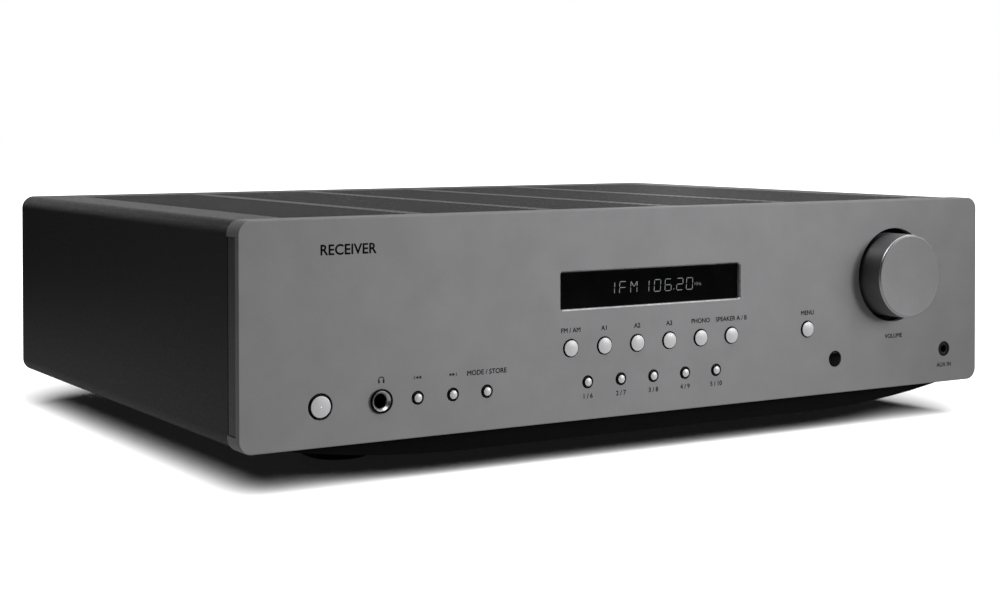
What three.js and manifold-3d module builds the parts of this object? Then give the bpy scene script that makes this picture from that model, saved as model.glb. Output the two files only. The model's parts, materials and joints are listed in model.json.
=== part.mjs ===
// A stereo receiver: a full-width steel case with a grey aluminium front panel, a large volume
// knob, push buttons, sockets front and rear, and the parts that it holds inside.
//
// Millimetres, +Z up, front towards -Y, +X to the right of someone facing the front panel.
// The receiver is modelled in panel coordinates: x across from the panel's centre, y behind the
// panel's front face, z above the panel's lower edge. One group then puts that frame in place.
import * as THREE from 'three';
import { mergeVertices } from 'three/addons/utils/BufferGeometryUtils.js';
import Module from 'manifold-3d';

const wasm = await Module();
wasm.setup();

// ---------------------------------------------------------------- driving dimensions

const PANEL_WIDTH = 430;
const PANEL_HEIGHT = 98;
const BODY_DEPTH = 304;
const FOOT_HEIGHT = 20;
const KNOB_REACH = 12.5;
const TERMINAL_REACH = 23.5;
const GAP = 0.3;
const SHEET = 1.2;

const PLATE_THICKNESS = 3;
const PANEL_CORNER = 6;
const RETURN_DEPTH = 12;
const RETURN_THICKNESS = 2;
const NOTCH_MARGIN = 7;

const COVER_HALF_WIDTH = 214.45;
const COVER_TOP = 97.7;
const COVER_CORNER = 6.5;
const LIP_INNER_X = 201.2;
const CASE_FRONT = RETURN_DEPTH + 0.4;

const REAR_FACE = BODY_DEPTH - 1;
const REAR_SHEET = 1.5;
const REAR_INSIDE = REAR_FACE - REAR_SHEET;
const FLANGE_FACE = REAR_FACE + GAP;
const TERMINAL_TIP = BODY_DEPTH + TERMINAL_REACH;

const CONTROL_CENTRE_X = -1.4;
const BUTTON_PITCH = 19;
const LOW_ROW_Z = 17.6;
const HIGH_ROW_Z = 34;
const BUTTON_TRAVEL = 1;
const WEB_FRONT = 9.3;
const WEB_BACK = 11.8;
const BOARD_FRONT = 18;
const BOARD_BACK = 19.6;
const STEM_RADIUS = 1.5;
const SWITCH_FACE = 16.8;

const KNOB = { x: 154.6, z: 58.9, radius: 21.7, recess: 24.4 };
const HEADPHONE = { x: -148.1, z: LOW_ROW_Z, bore: 3.2 };
const AUX = { x: 191.3, z: LOW_ROW_Z, bore: 1.8 };
const INFRARED = { x: 114, z: LOW_ROW_Z, radius: 3.8 };
const DISPLAY = { x: CONTROL_CENTRE_X, z: 60.7, width: 105.6, height: 17.4 };

// Each push button: its centre, the radius of its hole, how far it stands proud, and its facets.
const POWER_SIZE = { hole: 5.75, proud: 0.9, facets: 14 };
const LARGE_SIZE = { hole: 4.3, proud: 1, facets: 12 };
const SMALL_SIZE = { hole: 3.05, proud: 1, facets: 10 };

function rowOfButtons(prefix, count, z, size) {
  const first = CONTROL_CENTRE_X - (BUTTON_PITCH * (count - 1)) / 2;
  return Array.from({ length: count }, (_, i) => ({
    name: `${prefix}_${i + 1}`, x: first + i * BUTTON_PITCH, z, ...size,
  }));
}

const BUTTONS = [
  { name: 'power_button', x: -177.4, z: LOW_ROW_Z, ...POWER_SIZE },
  { name: 'skip_back_button', x: -130, z: LOW_ROW_Z, ...SMALL_SIZE },
  { name: 'skip_forward_button', x: -112.1, z: LOW_ROW_Z, ...SMALL_SIZE },
  { name: 'mode_button', x: -94.4, z: LOW_ROW_Z, ...SMALL_SIZE },
  { name: 'menu_button', x: 95.3, z: HIGH_ROW_Z, ...LARGE_SIZE },
  ...rowOfButtons('source_button', 6, HIGH_ROW_Z, LARGE_SIZE),
  ...rowOfButtons('preset_button', 5, LOW_ROW_Z, SMALL_SIZE),
];

const SPEAKER_COLUMNS = [-120, -96, -60, -36];
const SPEAKER_ROWS = [62, 34];
const SPEAKER_BLOCK = { x: -78, z: 48, width: 118, height: 60 };
const MAINS = { x: -180, inletZ: 32, rockerZ: 68, centreZ: 49, width: 34, height: 74 };
const AERIAL = { x: 34, z: 62, width: 54, height: 36 };
const LEVERS = [{ name: 'aerial_lever_left', x: 50.8 }, { name: 'aerial_lever_right', x: 40.2 }];
const PHONO_INPUTS = { name: 'phono_block_inputs', x: 165.5, z: 47, columns: 4 };
const PHONO_OUTPUTS = { name: 'phono_block_outputs', x: 94, z: 47, columns: 2 };
const PHONO_PITCH = 19;
const EARTH = { x: 194, z: 80 };

const VENT_FRONT = 14;
const VENT_BACK = 280;
const VENT_ROWS = 16;
const VENT_OPEN_SHARE = 0.57;
const VENT_FIELDS = [[-187, -123.5], [-115.5, -53.5], [-45.5, 16.5], [24.5, 91], [99, 187]];

// ---------------------------------------------------------------- solids

function toSolid(geometry) {
  const bare = geometry.clone();
  bare.deleteAttribute('normal');
  bare.deleteAttribute('uv');
  const merged = mergeVertices(bare, 1e-4);
  const corners = merged.index.array;
  const kept = [];
  for (let i = 0; i < corners.length; i += 3) {
    const [a, b, c] = corners.slice(i, i + 3);
    if (a !== b && b !== c && c !== a) kept.push(a, b, c);
  }
  return new wasm.Manifold(new wasm.Mesh({
    numProp: 3,
    vertProperties: merged.attributes.position.array,
    triVerts: Uint32Array.from(kept),
  }));
}

function toGeometry(solid) {
  const mesh = solid.getMesh();
  const geometry = new THREE.BufferGeometry();
  geometry.setAttribute('position', new THREE.BufferAttribute(mesh.vertProperties, 3));
  geometry.setIndex(new THREE.BufferAttribute(mesh.triVerts, 1));
  geometry.computeVertexNormals();
  return geometry;
}

const join = (...solids) => solids.flat().reduce((whole, piece) => whole.add(piece));
const cut = (solid, ...tools) => solid.subtract(join(...tools));

// A box between two values on each axis.
function block([x0, x1], [y0, y1], [z0, z1]) {
  const geometry = new THREE.BoxGeometry(x1 - x0, y1 - y0, z1 - z0);
  geometry.translate((x0 + x1) / 2, (y0 + y1) / 2, (z0 + z1) / 2);
  return toSolid(geometry);
}

// A box given by its centre and size across the panel, and by its front and back.
function slab(x, z, width, height, front, back) {
  return block([x - width / 2, x + width / 2], [front, back], [z - height / 2, z + height / 2]);
}

// A rod or a round hole that runs front to back.
function rod(x, z, radius, front, back, facets = 24) {
  const geometry = new THREE.CylinderGeometry(radius, radius, back - front, facets);
  geometry.translate(x, (front + back) / 2, z);
  return toSolid(geometry);
}

// A round piece that stands upright.
function post(x, y, radius, low, high, facets = 16) {
  const geometry = new THREE.CylinderGeometry(radius, radius, high - low, facets);
  geometry.rotateX(Math.PI / 2);
  geometry.translate(x, y, (low + high) / 2);
  return toSolid(geometry);
}

// A piece turned about a front-to-back axis, from [radius, y] points.
function turned(x, z, profile, facets = 32) {
  const points = profile.map(([radius, y]) => new THREE.Vector2(radius, y));
  const geometry = new THREE.LatheGeometry(points, facets);
  geometry.translate(x, 0, z);
  return toSolid(geometry);
}

// A piece turned about an upright axis, from [radius, z] points.
function turnedUpright(x, y, profile, facets = 24) {
  const points = profile.map(([radius, z]) => new THREE.Vector2(radius, z));
  const geometry = new THREE.LatheGeometry(points, facets);
  geometry.rotateX(Math.PI / 2);
  geometry.translate(x, y, 0);
  return toSolid(geometry);
}

function roundedRectangle(x, z, width, height, radius) {
  const left = x - width / 2;
  const right = x + width / 2;
  const low = z - height / 2;
  const high = z + height / 2;
  const quarter = Math.PI / 2;
  const shape = new THREE.Shape();
  shape.moveTo(left + radius, low);
  shape.absarc(right - radius, low + radius, radius, -quarter, 0);
  shape.absarc(right - radius, high - radius, radius, 0, quarter);
  shape.absarc(left + radius, high - radius, radius, quarter, 2 * quarter);
  shape.absarc(left + radius, low + radius, radius, 2 * quarter, 3 * quarter);
  return shape;
}

// A flat outline in x and z, made solid from front to back.
function extrude(shape, front, back, curveSegments = 5) {
  const geometry = new THREE.ExtrudeGeometry(shape, {
    depth: back - front, bevelEnabled: false, curveSegments,
  });
  geometry.rotateX(Math.PI / 2);
  geometry.translate(0, back, 0);
  return toSolid(geometry);
}

function roundedSlab(x, z, width, height, radius, front, back) {
  return extrude(roundedRectangle(x, z, width, height, radius), front, back, 4);
}

// An outline in y and z, made solid from left to right.
function extrudeAcross(points, left, right) {
  const shape = new THREE.Shape(points.map(([y, z]) => new THREE.Vector2(y, z)));
  const geometry = new THREE.ExtrudeGeometry(shape, { depth: right - left, bevelEnabled: false });
  const yzToWorld = new THREE.Matrix4().makeBasis(
    new THREE.Vector3(0, 1, 0), new THREE.Vector3(0, 0, 1), new THREE.Vector3(1, 0, 0),
  );
  geometry.applyMatrix4(yzToWorld);
  geometry.translate(left, 0, 0);
  return toSolid(geometry);
}

// ---------------------------------------------------------------- the assembly

const receiver = new THREE.Group();
const inPanelFrame = new THREE.Group();
const frontFaceY = KNOB_REACH - (KNOB_REACH + TERMINAL_TIP) / 2;
inPanelFrame.position.set(0, frontFaceY, FOOT_HEIGHT);
receiver.add(inPanelFrame);

const FINISHES = {
  anodisedGrey: { color: 0x85868a, roughness: 0.45, metalness: 0.9 },
  blackPaint: { color: 0x141416, roughness: 0.5, metalness: 0.1 },
  blackPlastic: { color: 0x17171a, roughness: 0.55, metalness: 0 },
  silverPlastic: { color: 0xc4c5c8, roughness: 0.35, metalness: 0.4 },
  rubber: { color: 0x0e0e0f, roughness: 0.9, metalness: 0 },
  smokedLens: { color: 0x060607, roughness: 0.08, metalness: 0 },
  zincSteel: { color: 0x9a9ca0, roughness: 0.4, metalness: 0.9 },
  nickel: { color: 0xb9babd, roughness: 0.25, metalness: 1 },
  circuitBoard: { color: 0x1f4a2c, roughness: 0.6, metalness: 0 },
  redPlastic: { color: 0x9c1b1b, roughness: 0.5, metalness: 0 },
  copperTape: { color: 0x8a5a2c, roughness: 0.5, metalness: 0.3 },
};

function addPiece(name, solid, finish) {
  const mesh = new THREE.Mesh(toGeometry(solid), new THREE.MeshStandardMaterial(FINISHES[finish]));
  mesh.name = name;
  inPanelFrame.add(mesh);
}

// ---------------------------------------------------------------- front panel and case

function frontPanel() {
  const middle = PANEL_HEIGHT / 2;
  const outside = extrude(
    roundedRectangle(0, middle, PANEL_WIDTH, PANEL_HEIGHT, PANEL_CORNER), 0, RETURN_DEPTH,
  );
  const pocket = extrude(
    roundedRectangle(
      0, middle, PANEL_WIDTH - 2 * RETURN_THICKNESS, PANEL_HEIGHT - 2 * RETURN_THICKNESS,
      PANEL_CORNER - RETURN_THICKNESS,
    ),
    PLATE_THICKNESS, RETURN_DEPTH + 1,
  );
  const notchHeight = [NOTCH_MARGIN, PANEL_HEIGHT - NOTCH_MARGIN];
  const notchDepth = [PLATE_THICKNESS, RETURN_DEPTH + 1];
  const sides = [-1, 1].map((side) => {
    const edge = (side * PANEL_WIDTH) / 2;
    return block([edge - 4, edge + 4], notchDepth, notchHeight);
  });
  const through = (x, z, radius, facets) => rod(x, z, radius, -1, PLATE_THICKNESS + 1, facets);
  const holes = [
    ...BUTTONS.map((button) => through(button.x, button.z, button.hole, 14)),
    through(KNOB.x, KNOB.z, KNOB.recess, 40),
    through(HEADPHONE.x, HEADPHONE.z, 4.9, 16),
    through(AUX.x, AUX.z, 3.95, 16),
    through(INFRARED.x, INFRARED.z, 4.15, 16),
    roundedSlab(DISPLAY.x, DISPLAY.z, DISPLAY.width, DISPLAY.height, 1, -1, PLATE_THICKNESS + 1),
  ];
  return cut(outside, pocket, sides, holes);
}

// The moulded frame behind the panel. Its cheeks show as a dark strip down each side.
function frontSubframe() {
  const inset = RETURN_THICKNESS + GAP;
  const web = extrude(
    roundedRectangle(
      0, PANEL_HEIGHT / 2, PANEL_WIDTH - 2 * inset, PANEL_HEIGHT - 2 * inset, PANEL_CORNER - inset,
    ),
    WEB_FRONT, WEB_BACK,
  );
  const cheekOutside = PANEL_WIDTH / 2 - 0.6;
  const cheekHeight = [NOTCH_MARGIN + GAP, PANEL_HEIGHT - NOTCH_MARGIN - GAP];
  const cheeks = [-1, 1].map((side) => {
    const edges = [side * (cheekOutside - 5), side * cheekOutside].sort((a, b) => a - b);
    return block(edges, [PLATE_THICKNESS + GAP, WEB_BACK], cheekHeight);
  });
  const through = [WEB_FRONT - 1, WEB_BACK + 1];
  const windows = [
    slab(DISPLAY.x, DISPLAY.z, 109, 25, ...through),
    slab(HEADPHONE.x, HEADPHONE.z, 14, 14, ...through),
    slab(AUX.x, AUX.z, 10, 10, ...through),
    rod(KNOB.x, KNOB.z, 4.9, ...through, 20),
    ...BUTTONS.map((button) => rod(button.x, button.z, STEM_RADIUS + 0.7, ...through, 6)),
  ];
  return cut(join(web, cheeks), windows);
}

// The cover's outline: one sheet bent round the top, both sides and under both lower edges.
function coverOutline() {
  const outer = COVER_CORNER;
  const inner = COVER_CORNER - SHEET;
  const centreX = COVER_HALF_WIDTH - outer;
  const highZ = COVER_TOP - outer;
  const lowZ = GAP + outer;
  const quarter = Math.PI / 2;
  const shape = new THREE.Shape();
  shape.moveTo(LIP_INNER_X, GAP);
  shape.absarc(centreX, lowZ, outer, -quarter, 0);
  shape.absarc(centreX, highZ, outer, 0, quarter);
  shape.absarc(-centreX, highZ, outer, quarter, 2 * quarter);
  shape.absarc(-centreX, lowZ, outer, 2 * quarter, 3 * quarter);
  shape.lineTo(-LIP_INNER_X, GAP);
  shape.lineTo(-LIP_INNER_X, GAP + SHEET);
  shape.absarc(-centreX, lowZ, inner, 3 * quarter, 2 * quarter, true);
  shape.absarc(-centreX, highZ, inner, 2 * quarter, quarter, true);
  shape.absarc(centreX, highZ, inner, quarter, 0, true);
  shape.absarc(centreX, lowZ, inner, 0, -quarter, true);
  shape.lineTo(LIP_INNER_X, GAP + SHEET);
  return shape;
}

function topCover() {
  const shell = extrude(coverOutline(), CASE_FRONT, BODY_DEPTH);
  const pitch = (VENT_BACK - VENT_FRONT) / VENT_ROWS;
  const slots = [];
  for (const [left, right] of VENT_FIELDS) {
    for (let row = 0; row < VENT_ROWS; row += 1) {
      const front = VENT_FRONT + row * pitch;
      const opening = [front, front + pitch * VENT_OPEN_SHARE];
      slots.push(block([left, right], opening, [COVER_TOP - 2, COVER_TOP + 1]));
    }
  }
  return cut(shell, slots);
}

// The tray's section: a floor that steps up over the cover's lips, then turns up at each side.
function traySection() {
  const floor = LIP_INNER_X - 0.4;
  const step = 2.1;
  const half = [
    [floor, GAP], [floor, step], [207.5, step], [212.7, 7], [212.7, 24],
    [212.7 - SHEET, 24], [212.7 - SHEET, 7.5], [207, step + SHEET],
    [floor - SHEET, step + SHEET], [floor - SHEET, GAP + SHEET],
  ];
  const mirrored = half.map(([x, z]) => [-x, z]).reverse();
  return new THREE.Shape([...half, ...mirrored].map(([x, z]) => new THREE.Vector2(x, z)));
}

function baseTray() {
  const floorTop = GAP + SHEET;
  const tray = extrude(traySection(), CASE_FRONT, REAR_INSIDE - GAP);
  const frontFlange = block([-200, 200], [CASE_FRONT, CASE_FRONT + SHEET], [floorTop - 0.2, 10]);
  const slots = [];
  for (const [left, right] of [[-170, -110], [20, 80], [100, 160]]) {
    for (let row = 0; row < 6; row += 1) {
      const front = 130 + row * 12;
      slots.push(block([left, right], [front, front + 5], [GAP - 1, floorTop + 1]));
    }
  }
  return cut(join(tray, frontFlange), slots);
}

function rearPanel() {
  const sheet = roundedSlab(0, 49, 425.4, 94.2, 4.6, REAR_INSIDE, REAR_FACE);
  const through = [REAR_INSIDE - 1, REAR_FACE + 1];
  const windows = [
    slab(MAINS.x, MAINS.centreZ, 29, 68, ...through),
    slab(SPEAKER_BLOCK.x, SPEAKER_BLOCK.z, 110, 52, ...through),
    slab(AERIAL.x, AERIAL.z, 48, 30, ...through),
    ...[PHONO_INPUTS, PHONO_OUTPUTS].map((phono) => {
      const width = phono.columns * PHONO_PITCH - 5;
      return slab(phono.x, phono.z, width, 33, ...through);
    }),
  ];
  const earthStud = rod(EARTH.x, EARTH.z, 2, REAR_FACE - 0.5, BODY_DEPTH + 10, 12);
  return join(cut(sheet, windows), earthStud);
}

// The plinth under the front panel, whose lower edge is flat in the middle and curves up to
// nothing at both ends.
function frontPlinth() {
  const depth = 9;
  const end = 196;
  const flat = 100;
  const bend = 150;
  const top = -GAP;
  const shape = new THREE.Shape();
  shape.moveTo(end, top);
  shape.lineTo(-end, top);
  shape.quadraticCurveTo(-bend, -depth, -flat, -depth);
  shape.lineTo(flat, -depth);
  shape.quadraticCurveTo(bend, -depth, end, top);
  return extrude(shape, 6, 26, 8);
}

function foot(x, y) {
  const profile = [
    [0, -FOOT_HEIGHT], [15.5, -FOOT_HEIGHT], [17, -FOOT_HEIGHT + 1.5], [19, -GAP - 3], [19, 0], [0, 0],
  ];
  return turnedUpright(x, y, profile, 18);
}

addPiece('front_panel', frontPanel(), 'anodisedGrey');
addPiece('front_subframe', frontSubframe(), 'blackPlastic');
addPiece('top_cover', topCover(), 'blackPaint');
addPiece('base_tray', baseTray(), 'blackPaint');
addPiece('rear_panel', rearPanel(), 'blackPaint');
addPiece('front_plinth', frontPlinth(), 'blackPlastic');
for (const [end, y] of [['front', 80], ['rear', 262]]) {
  addPiece(`foot_${end}_left`, foot(-130, y), 'rubber');
  addPiece(`foot_${end}_right`, foot(130, y), 'rubber');
}

// ---------------------------------------------------------------- front controls

// A button: crowned cap, a flange that keeps it behind the panel, and a stem to its switch.
function pushButton({ x, z, hole, proud, facets }) {
  const cap = hole - 0.4;
  const flange = hole + 1.2;
  const flangeFront = PLATE_THICKNESS + GAP;
  const stemEnd = SWITCH_FACE - BUTTON_TRAVEL - GAP;
  return turned(x, z, [
    [0, -proud], [cap * 0.75, 0.12 - proud], [cap, 0.6 - proud], [cap, flangeFront],
    [flange, flangeFront], [flange, flangeFront + 1.2], [STEM_RADIUS, flangeFront + 1.2],
    [STEM_RADIUS, stemEnd], [0, stemEnd],
  ], facets);
}

function displayWindow() {
  const { x, z, width, height } = DISPLAY;
  const lens = roundedSlab(x, z, width - 2 * GAP, height - 2 * GAP, 0.8, 1, PLATE_THICKNESS + 1);
  const flange = slab(x, z, width + 8, height + 7, PLATE_THICKNESS + GAP, PLATE_THICKNESS + 2.3);
  return join(lens, flange);
}

function infraredWindow() {
  const { x, z, radius } = INFRARED;
  return turned(x, z, [
    [0, 0.3], [radius, 0.3], [radius, PLATE_THICKNESS + GAP], [radius + 1.4, PLATE_THICKNESS + GAP],
    [radius + 1.4, PLATE_THICKNESS + 2], [0, PLATE_THICKNESS + 2],
  ], 16);
}

// The board behind the sub-frame: one switch behind each button, and a rest for the display.
function controlBoard() {
  const board = block([-205, 203], [BOARD_FRONT, BOARD_BACK], [6, 90]);
  const switches = BUTTONS.map((button) => slab(button.x, button.z, 6, 6, SWITCH_FACE, BOARD_BACK));
  const displayRest = slab(DISPLAY.x, DISPLAY.z, 96, 10, 14.3, BOARD_BACK);
  const socketWindow = slab(HEADPHONE.x, HEADPHONE.z, 14, 14, BOARD_FRONT - 1, BOARD_BACK + 1);
  return cut(join(board, switches, displayRest), socketWindow);
}

function displayTube() {
  const glass = slab(DISPLAY.x, DISPLAY.z, 106, 22, 7, 12);
  const back = slab(DISPLAY.x, DISPLAY.z, 100, 18, 11, 14);
  return join(glass, back);
}

function headphoneSocket() {
  const { x, z, bore } = HEADPHONE;
  const nutFront = -1;
  const nut = rod(x, z, 5.35, nutFront, -GAP, 18);
  const bush = rod(x, z, 4.5, nutFront, 6, 16);
  const housing = slab(x, z, 13, 13, 5, 27);
  return cut(join(nut, bush, housing), rod(x, z, bore, nutFront - 1, 24, 16));
}

function auxSocket() {
  const { x, z, bore } = AUX;
  const bush = rod(x, z, 3.6, -GAP, 6, 16);
  const housing = slab(x, z, 9, 9, 5, 17);
  return cut(join(bush, housing), rod(x, z, bore, -1, 15, 12));
}

// The black cup that the knob turns in.
function knobRecess() {
  const front = PLATE_THICKNESS + GAP;
  const inside = KNOB.recess + 0.6;
  return turned(KNOB.x, KNOB.z, [
    [5.2, 7.8], [inside, 7.8], [inside, front], [inside + 3, front], [inside + 3, front + 1.2],
    [inside + 1.5, front + 1.2], [inside + 1.5, WEB_FRONT - GAP], [5.2, WEB_FRONT - GAP], [5.2, 7.8],
  ], 32);
}

function volumeKnob() {
  const { x, z, radius } = KNOB;
  const face = -KNOB_REACH;
  const rear = 6.8;
  const shaftBore = 3.4;
  return turned(x, z, [
    [0, face], [radius - 1.3, face], [radius - 0.4, face + 0.4], [radius, face + 1.3],
    [radius, rear], [shaftBore, rear], [shaftBore, -6], [0, -6],
  ], 40);
}

function volumeShaft() {
  const shaft = rod(KNOB.x, KNOB.z, 3, -5.6, 13.8, 16);
  const flat = block([KNOB.x - 4, KNOB.x + 4], [-6, 5], [KNOB.z + 1.8, KNOB.z + 4]);
  return cut(shaft, flat);
}

function volumeEncoder() {
  const bush = rod(KNOB.x, KNOB.z, 4.5, 8.2, 12.5, 20);
  const housing = slab(KNOB.x, KNOB.z, 14, 14, WEB_BACK + GAP, BOARD_FRONT - GAP);
  return cut(join(bush, housing), rod(KNOB.x, KNOB.z, 3.4, 7, 14.2, 16));
}

for (const button of BUTTONS) addPiece(button.name, pushButton(button), 'silverPlastic');
addPiece('display_window', displayWindow(), 'smokedLens');
addPiece('display_tube', displayTube(), 'smokedLens');
addPiece('control_board', controlBoard(), 'circuitBoard');
addPiece('infrared_window', infraredWindow(), 'smokedLens');
addPiece('headphone_socket', headphoneSocket(), 'blackPlastic');
addPiece('aux_socket', auxSocket(), 'blackPlastic');
addPiece('knob_recess', knobRecess(), 'blackPlastic');
addPiece('volume_knob', volumeKnob(), 'anodisedGrey');
addPiece('volume_shaft', volumeShaft(), 'zincSteel');
addPiece('volume_encoder', volumeEncoder(), 'zincSteel');

// ---------------------------------------------------------------- rear connections

// Mains inlet and switch in one moulding, with three blades in the inlet.
function mainsInlet() {
  const { x, inletZ, rockerZ, centreZ, width, height } = MAINS;
  const flange = roundedSlab(x, centreZ, width, height, 2, FLANGE_FACE, BODY_DEPTH + 1.3);
  const housing = slab(x, centreZ, 28, 66, 280, FLANGE_FACE + 1);
  const cavity = slab(x, inletZ, 24.4, 16.4, 288, BODY_DEPTH + 2);
  const rockerPocket = slab(x, rockerZ, 13.6, 23.4, 288, BODY_DEPTH + 2);
  const blades = [[0, 2.4], [-7, -2.2], [7, -2.2]].map(([dx, dz]) => (
    slab(x + dx, inletZ + dz, 2, 4, 287, 300)
  ));
  return join(cut(join(flange, housing), cavity, rockerPocket), blades);
}

// The rocker, drawn level about its pivot and then tipped so that its upper half is pressed in.
function powerRocker() {
  const restTilt = 11;
  const halfWidth = 6.4;
  const level = [[-4, -3], [2, -9.8], [8, -9.8], [5.2, 0], [8, 9.8], [2, 9.8], [-4, 3]];
  const turn = THREE.MathUtils.degToRad(restTilt);
  const tipped = level.map(([y, z]) => [
    299.5 + y * Math.cos(turn) - z * Math.sin(turn),
    MAINS.rockerZ + y * Math.sin(turn) + z * Math.cos(turn),
  ]);
  return extrudeAcross(tipped, MAINS.x - halfWidth, MAINS.x + halfWidth);
}

// Coaxial aerial socket, and a pocket for two levers over the holes for a loop aerial's wires.
function aerialBlock() {
  const { x, z, width, height } = AERIAL;
  const face = BODY_DEPTH + 1.8;
  const flange = roundedSlab(x, z, width, height, 1.5, FLANGE_FACE, face);
  const housing = slab(x, z, 46, 28, 284, FLANGE_FACE + 1);
  const barrel = rod(18, 64, 4.7, face - 0.5, face + 10, 16);
  const barrelBore = rod(18, 64, 2.4, face, face + 11, 12);
  const leverPocket = block([35.4, 55.6], [296, face + 1], [65.4, 74]);
  const wireHoles = LEVERS.map((lever) => rod(lever.x, 58, 1.5, face - 8, face + 1, 8));
  return cut(join(flange, housing, barrel), barrelBore, leverPocket, wireHoles);
}

function aerialLever(x) {
  return extrudeAcross([
    [299, 68.4], [302, 68.2], [313, 68.4], [316.5, 69.4], [316.5, 70.6], [303, 71.2], [299, 71.2],
  ], x - 4.3, x + 4.3);
}

// A block of phono sockets, two rows high.
function phonoBlock({ x, z, columns }) {
  const width = columns * PHONO_PITCH;
  const face = BODY_DEPTH + 0.8;
  const plate = slab(x, z, width, 40, FLANGE_FACE, face);
  const housing = slab(x, z, width - 7, 31, 288, FLANGE_FACE + 0.5);
  const barrels = [];
  const bores = [];
  for (let column = 0; column < columns; column += 1) {
    const socketX = x + (column - (columns - 1) / 2) * PHONO_PITCH;
    for (const rowOffset of [-PHONO_PITCH / 2, PHONO_PITCH / 2]) {
      barrels.push(rod(socketX, z + rowOffset, 4.15, face - 0.3, face + 8.5, 12));
      bores.push(rod(socketX, z + rowOffset, 1.7, face + 1, face + 9, 8));
    }
  }
  return cut(join(plate, housing, barrels), bores);
}

function earthNut() {
  return turned(EARTH.x, EARTH.z, [
    [2.4, 304.2], [5, 304.2], [5.6, 305], [5.6, 309.6], [5, 310.4], [2.4, 310.4], [2.4, 304.2],
  ], 14);
}

function speakerBlock() {
  const { x, z, width, height } = SPEAKER_BLOCK;
  const face = BODY_DEPTH + 1.5;
  const flange = roundedSlab(x, z, width, height, 3, FLANGE_FACE, face);
  const housing = slab(x, z, 108, 50, 290, FLANGE_FACE + 1);
  const posts = [];
  for (const column of SPEAKER_COLUMNS) {
    for (const row of SPEAKER_ROWS) {
      posts.push(rod(column, row, 7.6, face - 0.5, face + 1.6, 12));
      posts.push(rod(column, row, 3, face, 322, 8));
    }
  }
  return join(flange, housing, posts);
}

function speakerCap(x, z) {
  const root = 307.5;
  return turned(x, z, [
    [3.6, root], [7.6, root], [7.6, TERMINAL_TIP - 1.6], [6.4, TERMINAL_TIP],
    [2.1, TERMINAL_TIP], [2.1, 323.5], [3.6, 323.5], [3.6, root],
  ], 12);
}

addPiece('mains_inlet', mainsInlet(), 'blackPlastic');
addPiece('power_rocker', powerRocker(), 'blackPlastic');
addPiece('aerial_block', aerialBlock(), 'blackPlastic');
for (const lever of LEVERS) addPiece(lever.name, aerialLever(lever.x), 'blackPlastic');
for (const phono of [PHONO_INPUTS, PHONO_OUTPUTS]) {
  addPiece(phono.name, phonoBlock(phono), 'blackPlastic');
}
addPiece('earth_nut', earthNut(), 'nickel');
addPiece('speaker_block', speakerBlock(), 'blackPlastic');
SPEAKER_ROWS.forEach((z, row) => {
  SPEAKER_COLUMNS.forEach((x, column) => {
    const isPositive = column === 1 || column === 2;
    const name = `speaker_cap_${row === 0 ? 'a' : 'b'}${column + 1}`;
    addPiece(name, speakerCap(x, z), isPositive ? 'redPlastic' : 'blackPlastic');
  });
});

// ---------------------------------------------------------------- inside the case

const TRAY_FLOOR = GAP + SHEET + GAP;

function transformer() {
  const inner = 18;
  const outer = 54;
  const low = TRAY_FLOOR;
  const high = 56;
  const soft = 7;
  return turnedUpright(-142, 160, [
    [inner, low + soft], [inner + soft, low], [outer - soft, low], [outer, low + soft],
    [outer, high - soft], [outer - soft, high], [inner + soft, high], [inner, high - soft],
    [inner, low + soft],
  ], 24);
}

// Finned extrusion, seen from above as a comb, standing on the tray.
function heatsink() {
  const left = -10;
  const right = 190;
  const baseFront = 150;
  const baseBack = 156;
  const finTip = 192;
  const fins = 13;
  const finThickness = 2.4;
  const pitch = (right - left - finThickness) / (fins - 1);
  const points = [[right, baseFront], [left, baseFront]].map(([x, y]) => new THREE.Vector2(x, y));
  for (let i = 0; i < fins; i += 1) {
    const x = left + i * pitch;
    points.push(new THREE.Vector2(x, finTip), new THREE.Vector2(x + finThickness, finTip));
    if (i < fins - 1) {
      points.push(new THREE.Vector2(x + finThickness, baseBack), new THREE.Vector2(x + pitch, baseBack));
    }
  }
  const geometry = new THREE.ExtrudeGeometry(new THREE.Shape(points), {
    depth: 84 - TRAY_FLOOR, bevelEnabled: false,
  });
  geometry.translate(0, 0, TRAY_FLOOR);
  return toSolid(geometry);
}

// Eight output transistors held against the heatsink by one bar.
function powerTransistors() {
  const bar = block([6, 174], [141.5, 144.5], [24, 30]);
  const bodies = Array.from({ length: 8 }, (_, i) => (
    slab(20 + i * 20, 28, 15, 20, 144.2, 150 - GAP)
  ));
  return join(bar, bodies);
}

function amplifierBoard() {
  const board = block([-85, 200], [45, 140], [9, 10.6]);
  const standoffs = [];
  for (const x of [-78, 60, 193]) {
    for (const y of [52, 133]) standoffs.push(post(x, y, 3, TRAY_FLOOR, 9.5, 8));
  }
  const relays = [90, 120, 150].map((x) => block([x, x + 20], [60, 76], [10, 26]));
  return join(board, standoffs, relays);
}

function smoothingCapacitor(x, y) {
  const base = 10.6 + GAP;
  return turnedUpright(x, y, [
    [0, base], [15, base], [15, base + 3], [14.4, base + 4], [15, base + 5], [15, base + 49],
    [14.2, base + 50], [0, base + 50],
  ], 16);
}

function tunerModule() {
  const can = block([11, 57], [226, 283.5], [54, 70]);
  const lid = block([10, 58], [225, 283.7], [66, 70.8]);
  return join(can, lid);
}

addPiece('toroidal_transformer', transformer(), 'copperTape');
addPiece('heatsink', heatsink(), 'zincSteel');
addPiece('power_transistors', powerTransistors(), 'blackPlastic');
addPiece('amplifier_board', amplifierBoard(), 'circuitBoard');
addPiece('smoothing_capacitor_left', smoothingCapacitor(-58, 66), 'blackPlastic');
addPiece('smoothing_capacitor_right', smoothingCapacitor(-58, 110), 'blackPlastic');
addPiece('tuner_module', tunerModule(), 'zincSteel');

export default receiver;
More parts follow.
